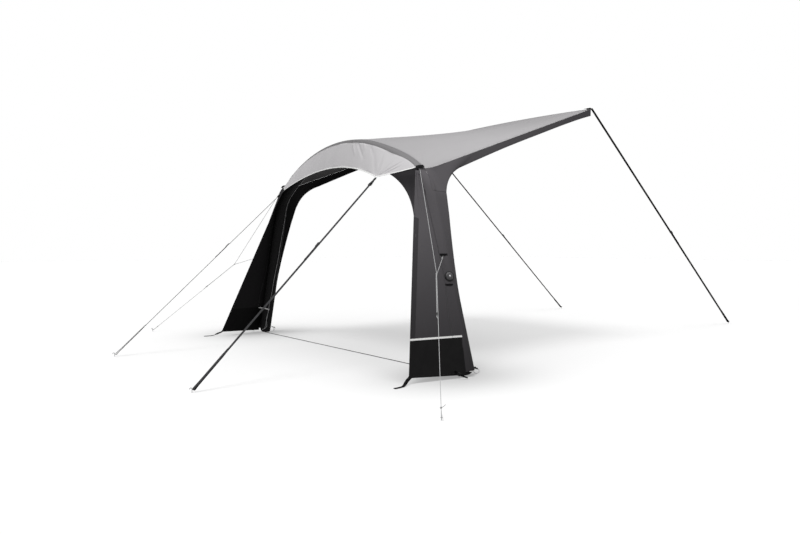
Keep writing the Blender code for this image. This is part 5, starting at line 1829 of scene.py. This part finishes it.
    # ---- storm guy: shoulder to fork, then doubled to the runner, then single
    head = Vector((SHOULDER_X + 0.022, -0.040, SHOULDER_Z - 0.018))
    fork = Vector(STORM_FORK)
    foot = Vector((STORM_PEG[0] - 0.008, STORM_PEG[1] + 0.006, 0.016))
    down = (foot - fork).normalized()
    upd = (fork - head).normalized()
    beside = down.cross(Vector((0, 0, 1))).normalized()
    guy = rod(f"{label}_storm_guy_cord", dense([head, mix(head, fork, 0.5), fork], 0.05), CORD_R, CORD, side, 10)
    run_a = rod(f"{label}_storm_guy_run", dense([fork, foot], 0.05), CORD_R, CORD, side, 10)
    turn_at = mix(fork, foot, 0.335)
    run_b = rod(f"{label}_storm_guy_return",
                rounded([fork + beside * 0.0030 + down * 0.004, mix(fork, foot, 0.02) + beside * 0.0045,
                         mix(fork, foot, 0.30) + beside * 0.0065, turn_at + beside * 0.0100], 0.02, 4), CORD_R, CORD, side, 10)
    tail = rod(f"{label}_storm_guy_tail",
               rounded([turn_at + beside * 0.0100, turn_at + beside * 0.0080 + down * 0.020,
                        turn_at + beside * 0.0035 + down * 0.036], 0.01, 4), CORD_R, CORD, side, 10)
    loop = hull(LOOP_HEIGHT - 0.020, -0.046, 0.0095)
    branch = rod(f"{label}_storm_guy_branch_cord", dense([loop + Vector((0.0, 0.0, 0.012)), loop, fork + Vector((-0.003, 0.0052, 0.0))], 0.05), CORD_R, CORD, side, 10)
    d_branch = (fork - loop).normalized()
    knots = [knot(f"{label}_storm_knot_head", mix(head, fork, 0.035), upd, 0.0019, 0.0017, CORD, side),
             knot(f"{label}_storm_knot_fork", fork, down, 0.0020, 0.0018, CORD, side),
             knot(f"{label}_storm_knot_loop", mix(loop, fork, 0.07), d_branch, 0.0019, 0.0017, CORD, side),
             knot(f"{label}_storm_knot_peg", mix(fork, foot, 0.947), down, 0.0019, 0.0017, CORD, side)]
    low = mix(fork, foot, 0.947)
    tag = rod(f"{label}_storm_knot_tag", rounded([low, low + Vector((0.006, 0.010, 0.004)), low + Vector((0.012, 0.024, 0.016))], 0.01, 4),
              CORD_R * 0.9, CORD, side, 8)
    eye_pts = []
    pegtop = Vector((STORM_PEG[0], STORM_PEG[1], 0.016))
    rad = Vector((down.x, down.y, 0.0)).normalized()
    for k in range(13):
        a = math.radians(lerp(-150.0, 150.0, k / 12.0))
        eye_pts.append(pegtop + rad * (0.0052 * math.cos(a)) + beside * (0.0052 * math.sin(a)))
    eye_pts = [mix(fork, foot, 0.955) - beside * 0.0002] + eye_pts + [mix(fork, foot, 0.955) + beside * 0.0002]
    eye_loop = rod(f"{label}_storm_guy_eye", rounded(eye_pts, 0.004, 2), CORD_R * 0.9, CORD, side, 8)
    piece(guy, "guy_cord", f"{label}_storm_guy")
    piece(branch, "guy_cord", f"{label}_storm_guy_branch")
    for o in (run_a, run_b, tail, tag, eye_loop, *knots):
        piece(o, "guy_cord")
    runner_at = mix(fork, foot, 0.33) + beside * 0.0070
    holes = [box_outline(0.0052, 0.0052, 0.0025, 3, -0.0115), box_outline(0.0052, 0.0052, 0.0025, 3, 0.0),
             box_outline(0.0052, 0.0052, 0.0025, 3, 0.0115)]
    runner = plate(f"{label}_guy_line_runner", box_outline(0.034, 0.013, 0.0058, 6), holes, 0.0052, 0.0011,
                   PLASTIC, runner_at, down, (0, 0, 1), side)
    piece(runner, "black_plastic", f"{label}_guy_runner")
    piece(steel_peg(f"{label}_storm_steel_peg", STORM_PEG, (0.77, -0.64), side), "peg_steel", f"{label}_storm_peg")

    # ---- loop on the leg for the lower branch
    arc = [hull(LOOP_HEIGHT, y, h) for y, h in ((-0.0640, 0.0014), (-0.0600, 0.0016), (-0.0560, 0.0022), (-0.0480, 0.0068),
                                               (-0.0400, 0.0078), (-0.0330, 0.0062), (-0.0260, 0.0022), (-0.0180, 0.0016),
                                               (-0.0100, 0.0014), (-0.0020, 0.0014))]
    strap = webbing(f"{label}_guy_loop_webbing", rounded(arc, 0.006, 3), Vector((-BEAM_LEAN, 0.0, 1.0)), BLACK_WEB, side, 0.0160, 0.0014)
    runs = []
    for y in (-0.0590, -0.0130):
        p = hull(LOOP_HEIGHT, y, 0.0026)
        out = hull(LOOP_HEIGHT, y, 1.0) - hull(LOOP_HEIGHT, y)
        runs += bar_tack(p, (0, 1, 0), (-BEAM_LEAN, 0, 1.0), out, 0.011, 0.006)
    tacks = stitches(f"{label}_guy_loop_stitching", runs, THREAD_DARK, side, 0.0024, 0.0019)
    piece(strap, "black_webbing", f"{label}_guy_loop")
    piece(tacks, "black_webbing")

    # ---- shoulder: black patch and its stitching
    pts = [Vector(p) for p in ((1.116, -0.058, 1.6000), (1.126, -0.036, 1.6085), (1.133, -0.012, 1.6120), (1.135, 0.008, 1.6115))]
    patch = webbing(f"{label}_shoulder_webbing", rounded(dense(pts, 0.02), 0.01, 3), (0.75, 0.0, -0.66), BLACK_WEB, side, 0.030, 0.0018)
    runs = bar_tack(mix(pts[0], pts[1], 0.4) + Vector((0.0012, -0.0012, 0.0010)), (pts[1] - pts[0]), (0.75, 0, -0.66), (0.6, -0.3, 0.7), 0.022, 0.014)
    runs += bar_tack(mix(pts[2], pts[3], 0.4) + Vector((0.0010, 0.0, 0.0014)), (pts[3] - pts[2]), (0.75, 0, -0.66), (0.66, 0.0, 0.75), 0.022, 0.014)
    tacks = stitches(f"{label}_shoulder_stitching", runs, THREAD_DARK, side, 0.0028, 0.0022)
    piece(patch, "black_webbing", f"{label}_shoulder_patch")
    piece(tacks, "black_webbing")

    # ---- peg tabs and ring at the foot
    fx, fy, fz = LEG_FRONT_BASE
    pts = [(fx - 0.001, fy + 0.020, fz + 0.012), (fx + 0.003, fy - 0.004, fz - 0.002), (fx + 0.014, fy - 0.028, 0.0290),
           (fx + 0.026, fy - 0.050, 0.0170), (fx + 0.036, fy - 0.070, 0.0070), (fx + 0.047, fy - 0.092, 0.0026),
           (fx + 0.053, fy - 0.130, 0.0018), (fx + 0.057, fy - 0.172, 0.0024)]
    path = rounded(dense(pts, 0.02), 0.010, 3)
    lie, stand = (1.0, 0.28, 0.0), (0.62, 0.30, -0.74)
    tab = webbing(f"{label}_front_foot_webbing", path, rolled(path, lie, stand, 0.004, 0.024), BLACK_WEB, side, 0.024, 0.0017)
    pts2 = [p[:2] + (p[2] + (0.0024 if p[2] < 0.02 else 0.0020),) for p in pts[2:]]
    path = rounded(dense(pts2[:-1] + [(fx + 0.0565, fy - 0.1705, 0.0046)], 0.02), 0.010, 3)
    tab2 = webbing(f"{label}_front_foot_webbing_upper", path, rolled(path, lie, stand, 0.0062, 0.0262), BLACK_WEB, side, 0.0225, 0.0015)
    piece(tab, "black_webbing", f"{label}_front_peg_tab")
    piece(tab2, "black_webbing")
    pts = [(1.668, -0.151, 0.058), (1.676, -0.144, 0.049), (1.688, -0.134, 0.039), (1.700, -0.124, 0.031),
           (1.714, -0.112, 0.023), (1.728, -0.100, 0.016), (1.741, -0.090, 0.0115)]
    path = rounded(dense(pts, 0.02), 0.008, 3)
    tab = webbing(f"{label}_beam_foot_webbing", path, rolled(path, (0.48, -0.55, 0.52), (0.30, -0.35, 0.88), 0.012, 0.034),
                  BLACK_WEB, side, 0.024, 0.0017)
    run, turn = Vector((0.66, 0.57, -0.49)).normalized(), Vector((0.30, -0.35, 0.88))
    face = run.cross(turn).normalized()
    slide = plate(f"{label}_beam_foot_slide", box_outline(0.026, 0.034, 0.005, 4), [box_outline(0.0050, 0.0255, 0.0012, 3, 0.0060),
                  box_outline(0.0050, 0.0255, 0.0012, 3, -0.0060)], 0.0042, 0.0009, PLASTIC,
                  Vector((1.692, -0.1305, 0.0355)) + face * 0.0006, tuple(run), tuple(face), side)
    piece(tab, "black_webbing", f"{label}_beam_peg_tab")
    piece(slide, "black_plastic")
    ring = Vector((1.627, 0.113, 0.0215))
    wide, tall = Vector((0.62, 0.785, 0.0)), Vector((-0.28, 0.22, 0.934))
    hoop = rod(f"{label}_foot_wire_ring", [ring + wide * (0.0205 * math.cos(math.tau * i / 32)) + tall * (0.0185 * math.sin(math.tau * i / 32))
                                           for i in range(32)], 0.0021, STEEL, side, 10, closed=True)
    piece(hoop, "peg_steel", f"{label}_foot_ring")
    pts = [(1.6440, 0.0750, 0.060), (1.6415, 0.0800, 0.0555), (1.6370, 0.0890, 0.0505), (1.6300, 0.1030, 0.0460),
           (1.6240, 0.1150, 0.0430), (1.6205, 0.1205, 0.0390), (1.6225, 0.1160, 0.0350), (1.6290, 0.1035, 0.0385),
           (1.6360, 0.0900, 0.0440)]
    tab = webbing(f"{label}_rear_foot_webbing", rounded(pts, 0.004, 3), (0.85, 0.42, 0.10), BLACK_WEB, side, 0.022, 0.0014)
    piece(tab, "black_webbing", f"{label}_rear_peg_tab")

    # ---- tape end and loose tie cord on the inside of the sleeve's foot
    def round_foot(dist, degrees, off):
        p = on_beam(dist, math.radians(degrees), SLEEVE_R + off)
        return Vector((abs(p.x), p.y, p.z))

    pts = [hull(0.280, -0.098, -0.0050), hull(0.280, -0.080, -0.0060)]
    pts += [round_foot(0.293, a, 0.0030) for a in (240.0, 228.0, 216.0, 204.0, 194.0)]
    strip = webbing(f"{label}_sleeve_tape_end", rounded(pts, 0.006, 2), (-0.29, 0.0, 0.957), WHITE, side, 0.0115, 0.0012)
    piece(strip, "white_tape")
    pts = [round_foot(d, a, 0.0044) for d, a in ((0.292, 199.0), (0.235, 206.0), (0.180, 212.0), (0.135, 204.0),
                                                 (0.088, 195.0), (0.058, 214.0), (0.036, 244.0))]
    tie = rod(f"{label}_sleeve_tie_cord", rounded(pts, 0.02, 4), 0.0018, CORD, side, 8)
    piece(tie, "guy_cord")

    # ---- rear corner tab
    pts = [(RAIL_X - 0.030, ROOF_DEPTH - 0.040, RAIL_HEIGHT + 0.0030), (RAIL_X - 0.030, ROOF_DEPTH - 0.022, RAIL_HEIGHT + 0.0075),
           (RAIL_X - 0.030, ROOF_DEPTH - 0.004, RAIL_HEIGHT + 0.0110), (RAIL_X - 0.030, ROOF_DEPTH + 0.006, RAIL_HEIGHT + 0.0085),
           (RAIL_X - 0.030, ROOF_DEPTH + 0.0100, RAIL_HEIGHT + 0.0010), (RAIL_X - 0.030, ROOF_DEPTH + 0.0060, RAIL_HEIGHT - 0.0070),
           (RAIL_X - 0.030, ROOF_DEPTH - 0.010, RAIL_HEIGHT - 0.0060)]
    tab = webbing(f"{label}_rear_corner_webbing", rounded(pts, 0.006, 3), (1.0, 0.0, -0.02), BLACK_WEB, side, 0.056, 0.0018)
    runs = bar_tack((RAIL_X - 0.030, ROOF_DEPTH - 0.024, RAIL_HEIGHT + 0.0086), (0, 1, 0.25), (1, 0, 0), (0, -0.25, 1), 0.046, 0.024)
    tacks = stitches(f"{label}_rear_corner_stitching", runs, THREAD_DARK, side, 0.0032, 0.0026)
    piece(tab, "black_webbing", f"{label}_rear_corner_tab")
    piece(tacks, "black_webbing")

# ---- beading along the rear edge, drawn through the rail
rail_line = [Vector((RAIL_X * s, ROOF_DEPTH + 0.0036, RAIL_HEIGHT - 0.0015 + ROOF_BOW * (1.0 - s * s)))
             for s in [lerp(-0.997, 0.997, i / 60.0) for i in range(61)]]
piece(rod("rear_edge_beading", rail_line, 0.0035, BLACK_WEB, sides=12), "black_webbing", "rear_beading")

# ---- strap that ties the two feet together
strap_line = [Vector((lerp(-1.0, 1.0, i / 40.0) * (BEAM_FOOT_X - 0.054), -0.03, 0.0034 + 0.0003 * math.sin(i * 1.3)))
              for i in range(41)]
piece(webbing("foot_tie_webbing", strap_line, (0.0, 0.30, 1.0), GREY_WEB, 1.0, 0.0055, 0.0030), "black_webbing", "ground_strap")

# ---- inflation valve on the right-hand leg
valve_at = hull(VALVE_HEIGHT, -0.024, 0.0003)
valve_out = hull(VALVE_HEIGHT, -0.024, 1.0) - hull(VALVE_HEIGHT, -0.024)
valve_out = Vector((valve_out.x, valve_out.y, BEAM_LEAN * valve_out.x)).normalized()
valve_side = Vector((0.0, 0.0, 1.0)).cross(valve_out).normalized()
valve_up = valve_out.cross(valve_side)


def turned_part(name, profile, mat, knurl=0, knurl_from=0.0, knurl_to=0.0, depth=0.0, steps=64):
    """A profile of (radius, height) turned about the valve's axis; knurl cuts
    grips into the given height band."""
    bm = bmesh.new()
    rings = []
    for r, z in profile:
        ring = []
        for k in range(steps):
            a = math.tau * k / steps
            rr = r
            if knurl and knurl_from <= z <= knurl_to and r > 0.004:
                rr -= depth * (0.5 + 0.5 * math.cos(a * knurl))
            ring.append(bm.verts.new((rr * math.cos(a), rr * math.sin(a), z)))
        rings.append(ring)
    for a, b in zip(rings, rings[1:]):
        for k in range(steps):
            l = (k + 1) % steps
            bm.faces.new((a[k], a[l], b[l], b[k]))
    bm.faces.new(list(reversed(rings[0])))
    bm.faces.new(rings[-1])
    bmesh.ops.recalc_face_normals(bm, faces=bm.faces[:])
    mesh = bpy.data.meshes.new(name)
    bm.to_mesh(mesh)
    bm.free()
    obj = link(bpy.data.objects.new(name, mesh))
    obj.matrix_world = Matrix.Translation(placed(valve_at)) @ Matrix((valve_side, valve_up, valve_out)).transposed().to_4x4()
    finish_mesh(obj, [mat], 35.0)
    return obj


base = turned_part("valve_base_flange", [(0.0385, 0.0028), (0.0390, 0.0036), (0.0385, 0.0050), (0.0362, 0.0062), (0.0340, 0.0066),
                                         (0.0322, 0.0060), (0.0318, 0.0030)], PLASTIC)
body = turned_part("valve_dome", [(0.0310, 0.0052), (0.0314, 0.0066), (0.0306, 0.0092), (0.0280, 0.0120), (0.0236, 0.0143),
                                  (0.0180, 0.0156), (0.0120, 0.0161), (0.0092, 0.0150), (0.0060, 0.0148)], VALVE_GREY,
                   28, 0.0085, 0.0125, 0.0010, 168)
# painted highlight: a pale button where the dome's highlight falls
lid = turned_part("valve_button_painted_highlight", [(0.0072, 0.0140), (0.0074, 0.0158), (0.0068, 0.0168), (0.0040, 0.0173), (0.0004, 0.0174)], VALVE_PAINTED_HIGHLIGHT)
spoke = [placed(valve_at + valve_side * x + valve_up * y + valve_out * z) for x, y, z in
         ((-0.036, -0.012, 0.0068), (-0.033, -0.010, 0.0100), (-0.0285, -0.0085, 0.0120), (-0.0245, -0.0075, 0.0136))]
tether = rod("valve_tether", [p + Vector((0.0, Y_MID, 0.0)) for p in spoke], 0.0013, PLASTIC, 1.0, 8)
piece(base, "valve_plastic", "inflation_valve")
for o in (body, lid, tether):
    piece(o, "valve_plastic")
tab_line = [hull(0.678, lerp(-0.070, -0.008, i / 12.0), 0.0022 + 0.0030 * math.sin(math.pi * i / 12.0)) for i in range(13)]
piece(webbing("valve_tab_webbing", tab_line, (-BEAM_LEAN, 0.0, 1.0), BLACK_WEB, 1.0, 0.012, 0.0016), "black_webbing", "valve_tab")


# --------------------------------------------------------------------------
# Done
# --------------------------------------------------------------------------
bpy.context.view_layer.update()
